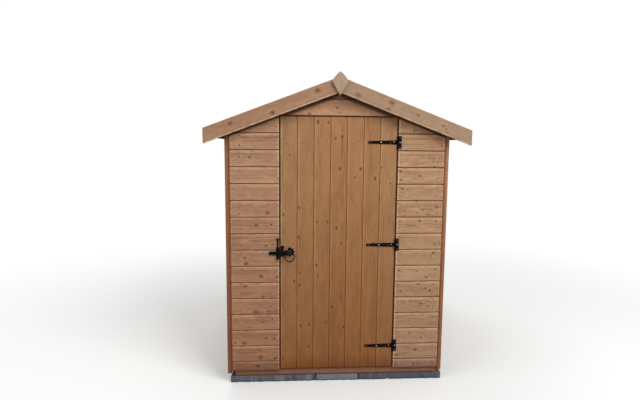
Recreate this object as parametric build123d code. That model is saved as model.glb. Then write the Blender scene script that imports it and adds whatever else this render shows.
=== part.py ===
from build123d import *
import os
from math import cos, radians, sin, sqrt, tan

os.makedirs("parts", exist_ok=True)

# Frame: X to the right seen from the door side, Y from the door to the back, Z up.
# The origin lies on the ground under the middle of the roof. All sizes are in millimetres.

# Overall size, over the corner trims and over the front and back boards
shed_width = 1524.0
shed_depth = 2134.0

# Timber sections
batten_thick = 28.0
batten_wide = 45.0
board_thick = 12.0
seat_gap = 0.3

# Wall boards: shiplap with a hollowed upper edge
board_cover = 114.2
cove_depth = 6.0
cove_height = 12.0
first_joint = 161.0
head_joint = 15
joint_count = 18

# Base of concrete slabs: the middle column and the last row are cut to fit
slab_thick = 50.0
slab_length = 600.0
slab_joint = 5.0
base_shift = 12.0
base_side_inset = 7.0
base_end_inset = 9.5

# Floor
joist_height = 34.0
joist_count = 6
floor_board_thick = 11.0
floor_board_count = 14
floor_groove = 2.0
floor_side_inset = 24.0
floor_front_gap = 2.0
board_below_floor = 6.0
trim_below_boards = 16.0

# Walls
side_stud_count = 5
back_stud_reach = 240.0

# Door
door_width = 789.0
door_shift = 5.5
door_board_count = 7
door_groove_wide = 8.0
door_groove_deep = 4.0
hinge_gap = 9.0
latch_gap = 12.5
head_gap = 10.0
sill_gap = 9.0
door_lap = 13.0
ledge_high = 70.0
ledge_clear = 8.0
brace_wide = 70.0
hinge_above_foot = 157.0
hinge_below_head = 165.0
hinge_middle_rise = 12.5

# Roof
roof_pitch = 20.8
ridge_above_head = 246.0
barge_wide = 90.0
barge_thick = 16.0
barge_tail = 10.0
barge_bevel = 3.0
gable_overhang = 59.0
eaves_overhang = 118.0
felt_thick = 3.0
ridge_felt_reach = 150.0
felt_turn_down = 50.0
deck_thick = 11.0
deck_board_count = 9
deck_groove = 3.0
purlin_offset = 400.0

# Finial
finial_thick = 16.0
finial_half = 56.0
finial_above_ridge = 31.0
finial_shoulder = 66.0
finial_tail = 91.0
finial_bulge = 5.0
finial_bevel = 4.0

# T hinges
pin_radius = 2.6
pin_play = 0.08
pin_head = 1.5
knuckle_radius = 6.5
knuckle_back = 0.5
hinge_iron = 3.0
strap_length = 203.0
strap_root_half = 14.5
strap_tip_half = 9.0
plate_half = 42.5
plate_wide = 26.0
plate_inset = 1.0
knuckle_play = 0.9

# Ring latch
latch_from_edge = 60.5
latch_above_floor = 850.5
rose_radius = 28.0
rose_lobes = 8
rose_lobe_radius = 7.0
rose_lobe_offset = 26.0
rose_thick = 2.5
journal_radius = 6.9
journal_play = 0.1
collar_radius = 12.0
collar_thick = 3.5
bar_thick = 5.0
bar_high = 25.0
bar_drop = 7.0
bar_reach = 140.5
bar_eye = 15.0
bar_corner = 4.0
spindle_square = 10.0
knob_radius = 17.0
knob_deep = 21.0
knob_bevel = 3.0
ring_radius = 32.5
ring_wire = 3.5
ring_sides = 8
ring_pin_radius = 3.0
ring_pin_play = 0.1
ring_pin_drop = 6.0
ring_ear_gap = 4.0
ring_pin_head = 4.0
ring_pin_head_gap = 0.4
staple_wide = 20.0
staple_offset = 49.5
staple_iron = 3.0
staple_stand = 16.0
staple_span = 60.0
staple_lug = 8.5
staple_lift = 3.0
keep_wide = 20.0
keep_proud = 1.5
keep_iron = 3.0
keep_neck_wide = 11.0
keep_below = 49.5
keep_neck_start = 32.0
keep_neck_length = 47.5
keep_head_high = 16.0
keep_lip = 23.0
keep_clear = 3.0

# Worked out from the values above
slope = tan(radians(roof_pitch))
pitch_cos = cos(radians(roof_pitch))
pitch_sin = sin(radians(roof_pitch))
front = -shed_depth / 2
wall_half = shed_width / 2 - batten_thick
panel_depth = board_thick + batten_thick
frame_half = shed_depth / 2 - panel_depth
floor_top = slab_thick + joist_height + floor_board_thick
board_low = floor_top - board_below_floor
head_level = first_joint + head_joint * board_cover
barge_ridge = head_level + ridge_above_head
roof_reach = shed_width / 2 + eaves_overhang
felt_drop = felt_thick
deck_drop = 2 * felt_thick
under_drop = deck_drop + deck_thick
rafter_drop = under_drop + batten_wide
roof_half_depth = shed_depth / 2 + gable_overhang
door_left = door_shift - door_width / 2
door_right = door_shift + door_width / 2
door_low = floor_top + sill_gap
door_top = head_level - head_gap
opening_left = door_left - latch_gap
opening_right = door_right + hinge_gap
jamb_left = door_left + door_lap
jamb_right = door_right - door_lap
hinge_foot = door_low + hinge_above_foot
hinge_head = door_top - hinge_below_head
hinge_middle = (hinge_foot + hinge_head) / 2 + hinge_middle_rise
hinge_heights = {"bottom": hinge_foot, "middle": hinge_middle, "top": hinge_head}
pin_x = door_right + hinge_gap / 2
strap_reach = pin_x - strap_length
pin_y = front - knuckle_back - knuckle_radius
bar_back = front - rose_thick - collar_thick
knob_back = bar_back - bar_thick
ring_y = knob_back - knob_deep * 2 / 3
latch_x = door_left + latch_from_edge
latch_z = floor_top + latch_above_floor
bar_z = latch_z - bar_drop
finial_top = barge_ridge + finial_above_ridge
finial_wide_at = finial_top - finial_shoulder
finial_low = finial_wide_at - finial_tail


def roof_line(drop, x):
    """Height of the plane that lies drop below the barge boards' top edge, square to the slope."""
    return barge_ridge - drop / pitch_cos - slope * abs(x)


def slope_point(along, drop):
    """Point of the right slope, along from the ridge and drop below the barge boards' top edge."""
    x = along * pitch_cos - drop * pitch_sin
    z = barge_ridge - along * pitch_sin - drop * pitch_cos
    return x, z


def block(x_low, x_high, y_low, y_high, z_low, z_high):
    """Box between two corners."""
    size = (x_high - x_low, y_high - y_low, z_high - z_low)
    middle = ((x_low + x_high) / 2, (y_low + y_high) / 2, (z_low + z_high) / 2)
    return Pos(*middle) * Box(*size)


def plate_xz(outline, y_low, y_high):
    """Solid whose outline lies in X and Z. The outline is a list of points or a sketch."""
    if isinstance(outline, list):
        outline = make_face(Polyline(*outline, close=True))
    face = Plane.XZ.offset(-y_low) * outline
    return extrude(face, amount=y_high - y_low, dir=(0, 1, 0))


def bar_yz(outline, x_low, x_high):
    """Solid whose outline lies in Y and Z."""
    face = Plane.YZ.offset(x_low) * make_face(Polyline(*outline, close=True))
    return extrude(face, amount=x_high - x_low, dir=(1, 0, 0))


def mirrored(solid):
    """The same piece on the other side of the middle plane across the roof."""
    return mirror(solid, about=Plane.YZ)


def save(name, *solids):
    """Write one sub-part."""
    export_step(Compound(children=list(solids)), f"parts/{name}.step")


def board_wall(length, low, high):
    """Run of shiplap boards centred on X, outer face on Y=0, back on Y=board_thick."""
    cove_centre = (cove_height**2 - cove_depth**2) / (2 * cove_depth)
    cove_radius = cove_centre + cove_depth
    half_turn = 0.5 * sqrt(2 - 2 * cove_centre / cove_radius)
    turn_cos = sqrt(1 - half_turn**2)
    middle_y = cove_radius * turn_cos - cove_centre
    middle_drop = cove_radius * half_turn
    edges = []
    start = (0, low)
    joints = [first_joint + i * board_cover for i in range(joint_count)]
    for joint in joints:
        if joint <= low or joint > high:
            continue
        hollow = (0, joint - cove_height)
        edges.append(Line(start, hollow))
        edges.append(ThreePointArc(hollow, (middle_y, joint - middle_drop), (cove_depth, joint)))
        start = (cove_depth, joint)
        if joint < high:
            edges.append(Line(start, (0, joint)))
            start = (0, joint)
    if start[1] < high:
        edges.append(Line(start, (0, high)))
        start = (0, high)
    edges.append(Polyline(start, (board_thick, high), (board_thick, low), (0, low)))
    face = Plane.YZ.offset(-length / 2) * make_face(Curve() + edges)
    return extrude(face, amount=length, dir=(1, 0, 0))


def gable_prism(drop):
    """Everything between the ground and the roof plane at this drop, over the whole depth."""
    outline = [
        (-wall_half, 0),
        (wall_half, 0),
        (wall_half, roof_line(drop, wall_half)),
        (0, roof_line(drop, 0)),
        (-wall_half, roof_line(drop, wall_half)),
    ]
    return plate_xz(outline, front, -front)


def base():
    """Slabs laid in rows, two large ones with a narrow one between them and a short row at the back."""
    half = shed_width / 2 - base_side_inset
    end = shed_depth / 2 - base_end_inset
    left = base_shift - half
    right = base_shift + half
    cut = slab_length + slab_joint
    columns = ((left, left + slab_length), (left + cut, right - cut), (right - slab_length, right))
    slabs = []
    y = -end
    while y < end:
        stop = min(y + slab_length, end)
        slabs += [block(x_low, x_high, y, stop, 0, slab_thick) for x_low, x_high in columns]
        y = stop + slab_joint
    save("base_slabs", *slabs)


def floor():
    """Joists across the width, boards from front to back with grooved joints."""
    half = wall_half - floor_side_inset
    half_depth = shed_depth / 2 - board_thick - floor_front_gap
    pitch = (2 * half_depth - batten_wide) / (joist_count - 1)
    joists = []
    for i in range(joist_count):
        y = -half_depth + i * pitch
        joists.append(block(-half, half, y, y + batten_wide, slab_thick, slab_thick + joist_height))
    save("floor_joists", *joists)
    cover = 2 * half / floor_board_count
    low = slab_thick + joist_height
    outline = [(-half, low), (half, low), (half, floor_top)]
    for i in range(floor_board_count - 1, 0, -1):
        x = -half + i * cover
        outline += [(x + floor_groove, floor_top), (x, floor_top - floor_groove)]
        outline.append((x - floor_groove, floor_top))
    outline.append((-half, floor_top))
    save("floor_boards", plate_xz(outline, -half_depth, half_depth))


def front_wall():
    """Boards beside and over the doorway, on a frame of studs and rails."""
    under_roof = gable_prism(under_drop)
    under_rafters = gable_prism(rafter_drop)
    for side, x_low, x_high in (("left", -wall_half, opening_left), ("right", opening_right, wall_half)):
        run = Pos((x_low + x_high) / 2, front, 0) * board_wall(x_high - x_low, board_low, head_level)
        save(f"front_cladding_{side}", run & under_roof)
    gable = Pos(0, front, 0) * board_wall(2 * wall_half, head_level, roof_line(under_drop, 0))
    save("front_cladding_gable", gable & under_roof)

    y_low = front + board_thick
    y_high = front + panel_depth
    ridge = roof_line(under_drop, 0)
    corner = wall_half - batten_wide
    studs = [
        block(-wall_half, -corner, y_low, y_high, floor_top, ridge) & under_rafters,
        block(jamb_left - batten_wide, jamb_left, y_low, y_high, floor_top, ridge) & under_rafters,
        block(jamb_right, jamb_right + batten_wide, y_low, y_high, floor_top, ridge) & under_rafters,
        block(corner, wall_half, y_low, y_high, floor_top, ridge) & under_rafters,
    ]
    head_low = door_top - ledge_clear
    head_high = head_low + batten_wide
    king = block(-batten_wide / 2, batten_wide / 2, y_low, y_high, head_high, ridge) & under_roof
    save("front_studs", *studs, king)
    rail_high = floor_top + batten_wide
    rails = [
        block(-corner, jamb_left - batten_wide, y_low, y_high, floor_top, rail_high),
        block(jamb_right + batten_wide, corner, y_low, y_high, floor_top, rail_high),
        block(jamb_left, jamb_right, y_low, y_high, head_low, head_high),
    ]
    save("front_rails", *rails, *rafters(y_low, y_high))


def rafters(y_low, y_high):
    """Two sloping rails under the roof boards, butted against the king post."""
    foot = wall_half
    head = batten_wide / 2
    outline = [
        (head, roof_line(rafter_drop, head)),
        (foot, roof_line(rafter_drop, foot)),
        (foot, roof_line(under_drop, foot)),
        (head, roof_line(under_drop, head)),
    ]
    right = plate_xz(outline, y_low, y_high)
    return mirrored(right), right


def back_wall():
    """Boards over the whole gable, on the same frame without a doorway."""
    under_roof = gable_prism(under_drop)
    under_rafters = gable_prism(rafter_drop)
    boards = Rot(0, 0, 180) * board_wall(2 * wall_half, board_low, roof_line(under_drop, 0))
    save("back_cladding", (Pos(0, -front, 0) * boards) & under_roof)
    y_low = -front - panel_depth
    y_high = -front - board_thick
    ridge = roof_line(under_drop, 0)
    places = (-wall_half, -back_stud_reach - batten_wide, back_stud_reach, wall_half - batten_wide)
    studs = []
    rails = []
    last = None
    for x in places:
        studs.append(block(x, x + batten_wide, y_low, y_high, floor_top, ridge) & under_rafters)
        if last is not None:
            rails.append(block(last, x, y_low, y_high, floor_top, floor_top + batten_wide))
        last = x + batten_wide
    tie_low = roof_line(rafter_drop, back_stud_reach) - 2 * batten_wide
    tie_high = tie_low + batten_wide
    rails.append(block(-back_stud_reach, back_stud_reach, y_low, y_high, tie_low, tie_high))
    king = block(-batten_wide / 2, batten_wide / 2, y_low, y_high, tie_high, ridge) & under_roof
    save("back_studs", *studs, king)
    save("back_rails", *rails, *rafters(y_low, y_high))


def side_walls():
    """Boards outside, studs between a bottom and a top rail inside."""
    eaves = roof_line(under_drop, wall_half) - seat_gap
    inner = wall_half - board_thick
    top_high = roof_line(under_drop, inner) - seat_gap
    boards = Pos(wall_half, 0, 0) * Rot(0, 0, 90) * board_wall(2 * frame_half, board_low, eaves)
    x_low = inner - batten_thick
    rails = [
        block(x_low, inner, -frame_half, frame_half, floor_top, floor_top + batten_wide),
        block(x_low, inner, -frame_half, frame_half, top_high - batten_wide, top_high),
    ]
    pitch = (2 * frame_half - batten_wide) / (side_stud_count - 1)
    z_low = floor_top + batten_wide
    z_high = top_high - batten_wide
    studs = []
    for i in range(side_stud_count):
        y = -frame_half + i * pitch
        studs.append(block(x_low, inner, y, y + batten_wide, z_low, z_high))
    save("right_cladding", boards)
    save("right_rails", *rails)
    save("right_studs", *studs)
    save("left_cladding", mirrored(boards))
    save("left_rails", *[mirrored(rail) for rail in rails])
    save("left_studs", *[mirrored(stud) for stud in studs])


def corner_trims():
    """Upright battens on the side walls that cover the joints with the front and the back."""
    low = board_low - trim_below_boards
    high = roof_line(under_drop, shed_width / 2) - seat_gap
    trims = []
    for y_low in (front, -front - batten_wide):
        right = block(wall_half, shed_width / 2, y_low, y_low + batten_wide, low, high)
        trims += [mirrored(right), right]
    save("corner_trims", *trims)


def roof():
    """Grooved boards on purlins, felt turned down over the eaves and a strip of felt on the ridge."""
    y_low = -roof_half_depth
    y_high = roof_half_depth
    cover = roof_reach / deck_board_count
    outline = [(0, roof_line(deck_drop, 0)), (roof_reach, roof_line(deck_drop, roof_reach))]
    outline.append((roof_reach, roof_line(under_drop, roof_reach)))
    for i in range(deck_board_count - 1, 0, -1):
        x = i * cover
        outline.append((x + deck_groove, roof_line(under_drop, x + deck_groove)))
        outline.append((x, roof_line(under_drop - deck_groove, x)))
        outline.append((x - deck_groove, roof_line(under_drop, x - deck_groove)))
    outline.append((0, roof_line(under_drop, 0)))
    deck = plate_xz(outline, y_low, y_high)
    save("roof_boards_right", deck)
    save("roof_boards_left", mirrored(deck))

    edge = roof_reach + felt_thick
    felt_low = roof_line(felt_drop, edge) - felt_turn_down
    felt = plate_xz(
        [
            (0, roof_line(felt_drop, 0)),
            (edge, roof_line(felt_drop, edge)),
            (edge, felt_low),
            (roof_reach, felt_low),
            (roof_reach, roof_line(deck_drop, roof_reach)),
            (0, roof_line(deck_drop, 0)),
        ],
        y_low,
        y_high,
    )
    save("roof_felt_right", felt)
    save("roof_felt_left", mirrored(felt))
    reach = ridge_felt_reach
    strip = [
        (-reach, roof_line(0, reach)),
        (0, roof_line(0, 0)),
        (reach, roof_line(0, reach)),
        (reach, roof_line(felt_drop, reach)),
        (0, roof_line(felt_drop, 0)),
        (-reach, roof_line(felt_drop, reach)),
    ]
    save("ridge_felt", plate_xz(strip, y_low, y_high))


def roof_timbers():
    """Ridge purlin and a purlin under each slope, and a rail under each eaves edge."""
    half = batten_thick / 2
    low = roof_line(under_drop, half) - batten_wide
    ridge = plate_xz(
        [
            (-half, low),
            (half, low),
            (half, roof_line(under_drop, half)),
            (0, roof_line(under_drop, 0)),
            (-half, roof_line(under_drop, half)),
        ],
        -frame_half,
        frame_half,
    )
    outline = [
        slope_point(purlin_offset, under_drop),
        slope_point(purlin_offset + batten_thick, under_drop),
        slope_point(purlin_offset + batten_thick, rafter_drop),
        slope_point(purlin_offset, rafter_drop),
    ]
    purlin = plate_xz(outline, -frame_half, frame_half)
    save("roof_purlins", ridge, purlin, mirrored(purlin))
    high = roof_line(under_drop, roof_reach)
    inner = roof_reach - batten_thick
    rail = block(inner, roof_reach, -roof_half_depth, roof_half_depth, high - batten_wide, high)
    save("eaves_rails", rail, mirrored(rail))


def nearest_edge(solid, x, y, z):
    """The edge whose middle lies nearest to a point."""
    return min(solid.edges(), key=lambda edge: (edge @ 0.5 - Vector(x, y, z)).length)


def barge_boards():
    """Sloping face boards at both gables, cut plumb at the ridge and at the eaves."""
    reach = roof_reach + barge_tail
    face = -roof_half_depth - barge_thick
    outline = [
        (0, roof_line(0, 0)),
        (0, roof_line(barge_wide, 0)),
        (reach, roof_line(barge_wide, reach)),
        (reach, roof_line(0, reach)),
    ]
    right = plate_xz(outline, face, -roof_half_depth)
    lower = nearest_edge(right, reach / 2, face, roof_line(barge_wide, reach / 2))
    right = chamfer(lower, barge_bevel)
    save("barge_board_front_right", right)
    save("barge_board_front_left", mirrored(right))
    save("barge_board_back_right", mirror(right, about=Plane.XZ))
    save("barge_board_back_left", mirror(mirrored(right), about=Plane.XZ))


def finials():
    """Kite-shaped boards over the joint of the barge boards, with bevelled front edges."""
    rise = finial_top - finial_wide_at
    length = sqrt(finial_half**2 + rise**2)
    bulge_x = finial_half / 2 + finial_bulge * rise / length
    bulge_z = finial_wide_at + rise / 2 + finial_bulge * finial_half / length
    outline = Curve() + [
        Polyline((-finial_half, finial_wide_at), (0, finial_low), (finial_half, finial_wide_at)),
        ThreePointArc((finial_half, finial_wide_at), (bulge_x, bulge_z), (0, finial_top)),
        ThreePointArc((0, finial_top), (-bulge_x, bulge_z), (-finial_half, finial_wide_at)),
    ]
    back = -roof_half_depth - barge_thick
    kite = plate_xz(make_face(outline), back - finial_thick, back)
    kite = chamfer(kite.faces().sort_by(Axis.Y)[0].edges(), finial_bevel)
    save("finial_front", kite)
    save("finial_back", mirror(kite, about=Plane.XZ))


def door():
    """Grooved boards on three ledges, with a brace rising from the hinge side in each bay."""
    cover = door_width / door_board_count
    half_groove = door_groove_wide / 2
    outline = [(door_left, front)]
    for i in range(1, door_board_count):
        x = door_left + i * cover
        outline += [(x - half_groove, front), (x, front + door_groove_deep), (x + half_groove, front)]
    back = front + board_thick
    outline += [(door_right, front), (door_right, back), (door_left, back)]
    face = Plane.XY.offset(door_low) * make_face(Polyline(*outline, close=True))
    save("door_boards", extrude(face, amount=door_top - door_low, dir=(0, 0, 1)))

    x_low = jamb_left + ledge_clear
    x_high = jamb_right - ledge_clear
    y_high = back + batten_thick
    half = ledge_high / 2
    heights = sorted(hinge_heights.values())
    ledges = [block(x_low, x_high, back, y_high, z - half, z + half) for z in heights]
    save("door_ledges", *ledges)
    braces = []
    for lower, upper in zip(heights, heights[1:]):
        rise = (upper - half) - (lower + half)
        run = x_high - x_low
        foot = brace_wide * sqrt(run**2 + rise**2) / rise
        corner = [(x_high - foot, lower + half), (x_high, lower + half), (x_low + foot, upper - half)]
        braces.append(plate_xz(corner + [(x_low, upper - half)], back, y_high))
    save("door_braces", *braces)


def post(radius, x, y, z_low, z_high):
    """Upright round bar."""
    return Pos(x, y, (z_low + z_high) / 2) * Cylinder(radius, z_high - z_low)


def t_hinge(name, z):
    """Strap on the door with the middle knuckle, plate on the frame with two knuckles and the pin."""
    tip = strap_reach + strap_tip_half
    root = pin_x - hinge_gap / 4
    corners = [
        (tip, z - strap_tip_half),
        (root, z - strap_root_half),
        (root, z + strap_root_half),
        (tip, z + strap_tip_half),
    ]
    outline = Curve() + [Polyline(*corners), ThreePointArc(corners[-1], (strap_reach, z), corners[0])]
    strap = plate_xz(make_face(outline), front - hinge_iron, front)
    strap += post(knuckle_radius, pin_x, pin_y, z - strap_root_half, z + strap_root_half)
    strap -= post(pin_radius + pin_play, pin_x, pin_y, z - plate_half, z + plate_half)
    save(f"hinge_strap_{name}", strap)

    clear = strap_root_half + knuckle_play
    right = pin_x + plate_wide
    plate = block(pin_x + plate_inset, right, front - hinge_iron, front, z - plate_half, z + plate_half)
    notch = pin_x + knuckle_radius + knuckle_play
    plate -= block(pin_x, notch, front - hinge_iron, front, z - clear, z + clear)
    plate += post(knuckle_radius, pin_x, pin_y, z - plate_half, z - clear)
    plate += post(knuckle_radius, pin_x, pin_y, z + clear, z + plate_half)
    plate += post(pin_radius, pin_x, pin_y, z - plate_half - pin_head, z + plate_half + pin_head)
    save(f"hinge_plate_{name}", plate)


def turned(radius, y_low, y_high):
    """Round bar across the door on the latch's axis."""
    return Pos(latch_x, (y_low + y_high) / 2, latch_z) * Rot(90, 0, 0) * Cylinder(radius, y_high - y_low)


def latch():
    """Rose, turning knob with its bar, hanging ring, staple on the door and keep on the frame."""
    rose_front = front - rose_thick
    lobes = Circle(rose_radius) + PolarLocations(rose_lobe_offset, rose_lobes) * Circle(rose_lobe_radius)
    rose = plate_xz(Pos(latch_x, latch_z) * lobes, rose_front, front)
    save("latch_rose", rose - turned(journal_radius + journal_play, rose_front, front))

    half = spindle_square / 2
    knob_front = knob_back - knob_deep
    knob = chamfer(turned(knob_radius, knob_front, knob_back).edges().sort_by(Axis.Y)[0], knob_bevel)
    knob += block(latch_x - half, latch_x + half, knob_back, bar_back, latch_z - half, latch_z + half)
    knob += turned(collar_radius, bar_back, rose_front)
    knob += turned(journal_radius, rose_front, front)
    pin_z = latch_z - ring_pin_drop
    bore = Cylinder(ring_pin_radius + ring_pin_play, 2 * knob_radius)
    save("latch_knob", knob - Pos(latch_x, ring_y, pin_z) * Rot(0, 90, 0) * bore)

    body = Rectangle(bar_reach, bar_high, align=(Align.MAX, Align.CENTER))
    body = fillet(body.vertices().sort_by(Axis.X)[:2], bar_corner)
    outline = Pos(0, -bar_drop) * body + Circle(bar_eye) - Rectangle(spindle_square, spindle_square)
    save("latch_bar", plate_xz(Pos(latch_x, latch_z) * outline, knob_back, bar_back))

    end_x = knob_radius + ring_ear_gap
    chord = sqrt(ring_radius**2 - end_x**2)
    centre_z = pin_z - chord
    loop = ThreePointArc((-end_x, chord), (0, -ring_radius), (end_x, chord))
    path = Pos(latch_x, ring_y, centre_z) * (Plane.XZ * loop)
    wire = RegularPolygon(ring_wire, ring_sides)
    ring = sweep(Plane(origin=path @ 0, z_dir=path % 0) * wire, path=path)
    ring += Pos(latch_x, ring_y, pin_z) * Rot(0, 90, 0) * Cylinder(ring_pin_radius, 2 * end_x)
    inner = sqrt(knob_radius**2 - (ring_pin_drop - ring_pin_head) ** 2) + ring_pin_head_gap
    outer = end_x + ring_pin_head
    for x in (-(inner + outer) / 2, (inner + outer) / 2):
        head = Cylinder(ring_pin_head, outer - inner)
        ring += Pos(latch_x + x, ring_y, pin_z) * Rot(0, 90, 0) * head
    save("ring_handle", ring)

    low = bar_z - bar_high / 2 - staple_lift - staple_iron
    high = low + staple_span
    outer = front - staple_stand
    iron = staple_iron
    hat = [
        (front, low - staple_lug),
        (front - iron, low - staple_lug),
        (front - iron, low),
        (outer, low),
        (outer, high),
        (front - iron, high),
        (front - iron, high + staple_lug),
        (front, high + staple_lug),
        (front, high - iron),
        (outer + iron, high - iron),
        (outer + iron, low + iron),
        (front, low + iron),
    ]
    middle = latch_x - staple_offset
    save("latch_staple", bar_yz(hat, middle - staple_wide / 2, middle + staple_wide / 2))

    right = opening_left + keep_proud
    left = right - keep_wide
    centre = (left + right) / 2
    keep_low = latch_z - keep_below
    neck_low = latch_z + keep_neck_start
    neck_high = neck_low + keep_neck_length
    lip_back = bar_back - bar_thick - keep_clear
    hook = [
        (front, keep_low),
        (lip_back - keep_iron, keep_low),
        (lip_back - keep_iron, keep_low + keep_lip),
        (lip_back, keep_low + keep_lip),
        (lip_back, keep_low + keep_iron),
        (front - keep_iron, keep_low + keep_iron),
        (front - keep_iron, neck_low),
        (front, neck_low),
    ]
    keep = bar_yz(hook, left, right)
    neck = keep_neck_wide / 2
    keep += block(centre - neck, centre + neck, front - keep_iron, front, neck_low, neck_high)
    keep += block(left, right, front - keep_iron, front, neck_high, neck_high + keep_head_high)
    save("latch_keep", keep)


base()
floor()
front_wall()
back_wall()
side_walls()
corner_trims()
roof()
roof_timbers()
barge_boards()
finials()
door()
for hinge_name, hinge_z in hinge_heights.items():
    t_hinge(hinge_name, hinge_z)
latch()
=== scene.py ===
"""Looks of a small wooden garden shed.

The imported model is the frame. Each sub-assembly is a class that keeps its sizes in metres, builds
its boards, irons and fixings where the frame has them, and dresses them with its finishes.
"""

import logging
import math
import random
from dataclasses import dataclass
from enum import Enum
from functools import cache
from typing import Callable, Iterable, Optional, Sequence, Union

import bmesh
import bpy
import numpy as np
from mathutils import Matrix, Vector, noise


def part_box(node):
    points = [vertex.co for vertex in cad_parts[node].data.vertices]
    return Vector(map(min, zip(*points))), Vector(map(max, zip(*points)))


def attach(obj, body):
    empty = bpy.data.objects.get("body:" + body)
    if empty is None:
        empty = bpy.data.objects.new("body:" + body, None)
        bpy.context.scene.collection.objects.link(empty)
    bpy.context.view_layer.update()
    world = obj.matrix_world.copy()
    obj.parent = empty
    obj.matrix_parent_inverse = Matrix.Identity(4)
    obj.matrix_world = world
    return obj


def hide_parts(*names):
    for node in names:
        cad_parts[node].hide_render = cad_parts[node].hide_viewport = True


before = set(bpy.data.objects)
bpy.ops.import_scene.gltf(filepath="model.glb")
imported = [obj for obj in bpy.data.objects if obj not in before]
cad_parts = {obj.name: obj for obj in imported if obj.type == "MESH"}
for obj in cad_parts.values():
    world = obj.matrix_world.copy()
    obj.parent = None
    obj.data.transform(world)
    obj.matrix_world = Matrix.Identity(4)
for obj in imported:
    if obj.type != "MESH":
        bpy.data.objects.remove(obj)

log = logging.getLogger("shed")

Mesh = bmesh.types.BMesh
Corner = bmesh.types.BMVert
Socket = bpy.types.NodeSocket
Colour = tuple[float, float, float]
Outline = Sequence[tuple[float, float]]
Site = tuple[float, float, float]

KNOTS = 7
NO_KNOT = Vector((-10.0, 0.0, 0.001))
X, Y, Z = Vector((1, 0, 0)), Vector((0, 1, 0)), Vector((0, 0, 1))
PITCH = math.radians(20.8)
SLOPE = math.tan(PITCH)
CUT = 1e-6
WELD = 2e-5
FLAT = math.radians(1)
SEAM = 0.001
SUNK = 0.0002
PER_METRE = 1000


class Body(Enum):
    """Bodies of the frame that pieces ride on."""

    SHED = "shed"
    DOOR = "door"
    LATCH = "latch"
    RING = "ring"


class Slot(Enum):
    """Material slots of the record."""

    SLAB = "slab"
    WALL = "wall_timber"
    DOOR = "door_timber"
    FRAME = "frame_timber"
    TRIM = "trim_timber"
    FLOOR = "floor_timber"
    FELT = "roof_felt"
    IRON = "black_iron"


def shade(red: int, green: int, blue: int) -> Colour:
    """A colour as a screen shows it, from 0 to 255, made linear."""
    parts = (red / 255, green / 255, blue / 255)
    return tuple(p / 12.92 if p <= 0.04045 else ((p + 0.055) / 1.055) ** 2.4 for p in parts)


class Num:
    """A number that changes over a surface. Operators on it add Math nodes."""

    def __init__(self, graph: "Graph", socket: Socket) -> None:
        """Wrap an output socket of a graph."""
        self.graph, self.socket = graph, socket

    def __add__(self, other: "Value") -> "Num":
        """This plus other."""
        return self.graph.math("ADD", self, other)

    def __mul__(self, other: "Value") -> "Num":
        """This times other."""
        return self.graph.math("MULTIPLY", self, other)

    def __sub__(self, other: "Value") -> "Num":
        """This less other."""
        return self.graph.math("SUBTRACT", self, other)

    def __rsub__(self, other: "Value") -> "Num":
        """Other less this."""
        return self.graph.math("SUBTRACT", other, self)

    def __truediv__(self, other: "Value") -> "Num":
        """This divided by other."""
        return self.graph.math("DIVIDE", self, other)

    def __rtruediv__(self, other: "Value") -> "Num":
        """Other divided by this."""
        return self.graph.math("DIVIDE", other, self)

    __radd__ = __add__
    __rmul__ = __mul__

    def __abs__(self) -> "Num":
        """Its size without its sign."""
        return self.graph.math("ABSOLUTE", self)

    def least(self, other: "Value") -> "Num":
        """The smaller of the two."""
        return self.graph.math("MINIMUM", self, other)

    def most(self, other: "Value") -> "Num":
        """The larger of the two."""
        return self.graph.math("MAXIMUM", self, other)

    def root(self) -> "Num":
        """Square root."""
        return self.graph.math("SQRT", self)

    def rise(self, low: float, high: float) -> "Num":
        """Smooth step from 0 at low to 1 at high.

        Args:
            low: Value where the step starts.
            high: Value where it ends.

        Returns:
            A number from 0 to 1.
        """
        settings = {"interpolation_type": "SMOOTHSTEP"}
        sockets = {"Value": self, "From Min": low, "From Max": high}
        return Num(self.graph, self.graph.add("ShaderNodeMapRange", settings, sockets).outputs[0])


Value = Union[Num, float]


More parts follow.
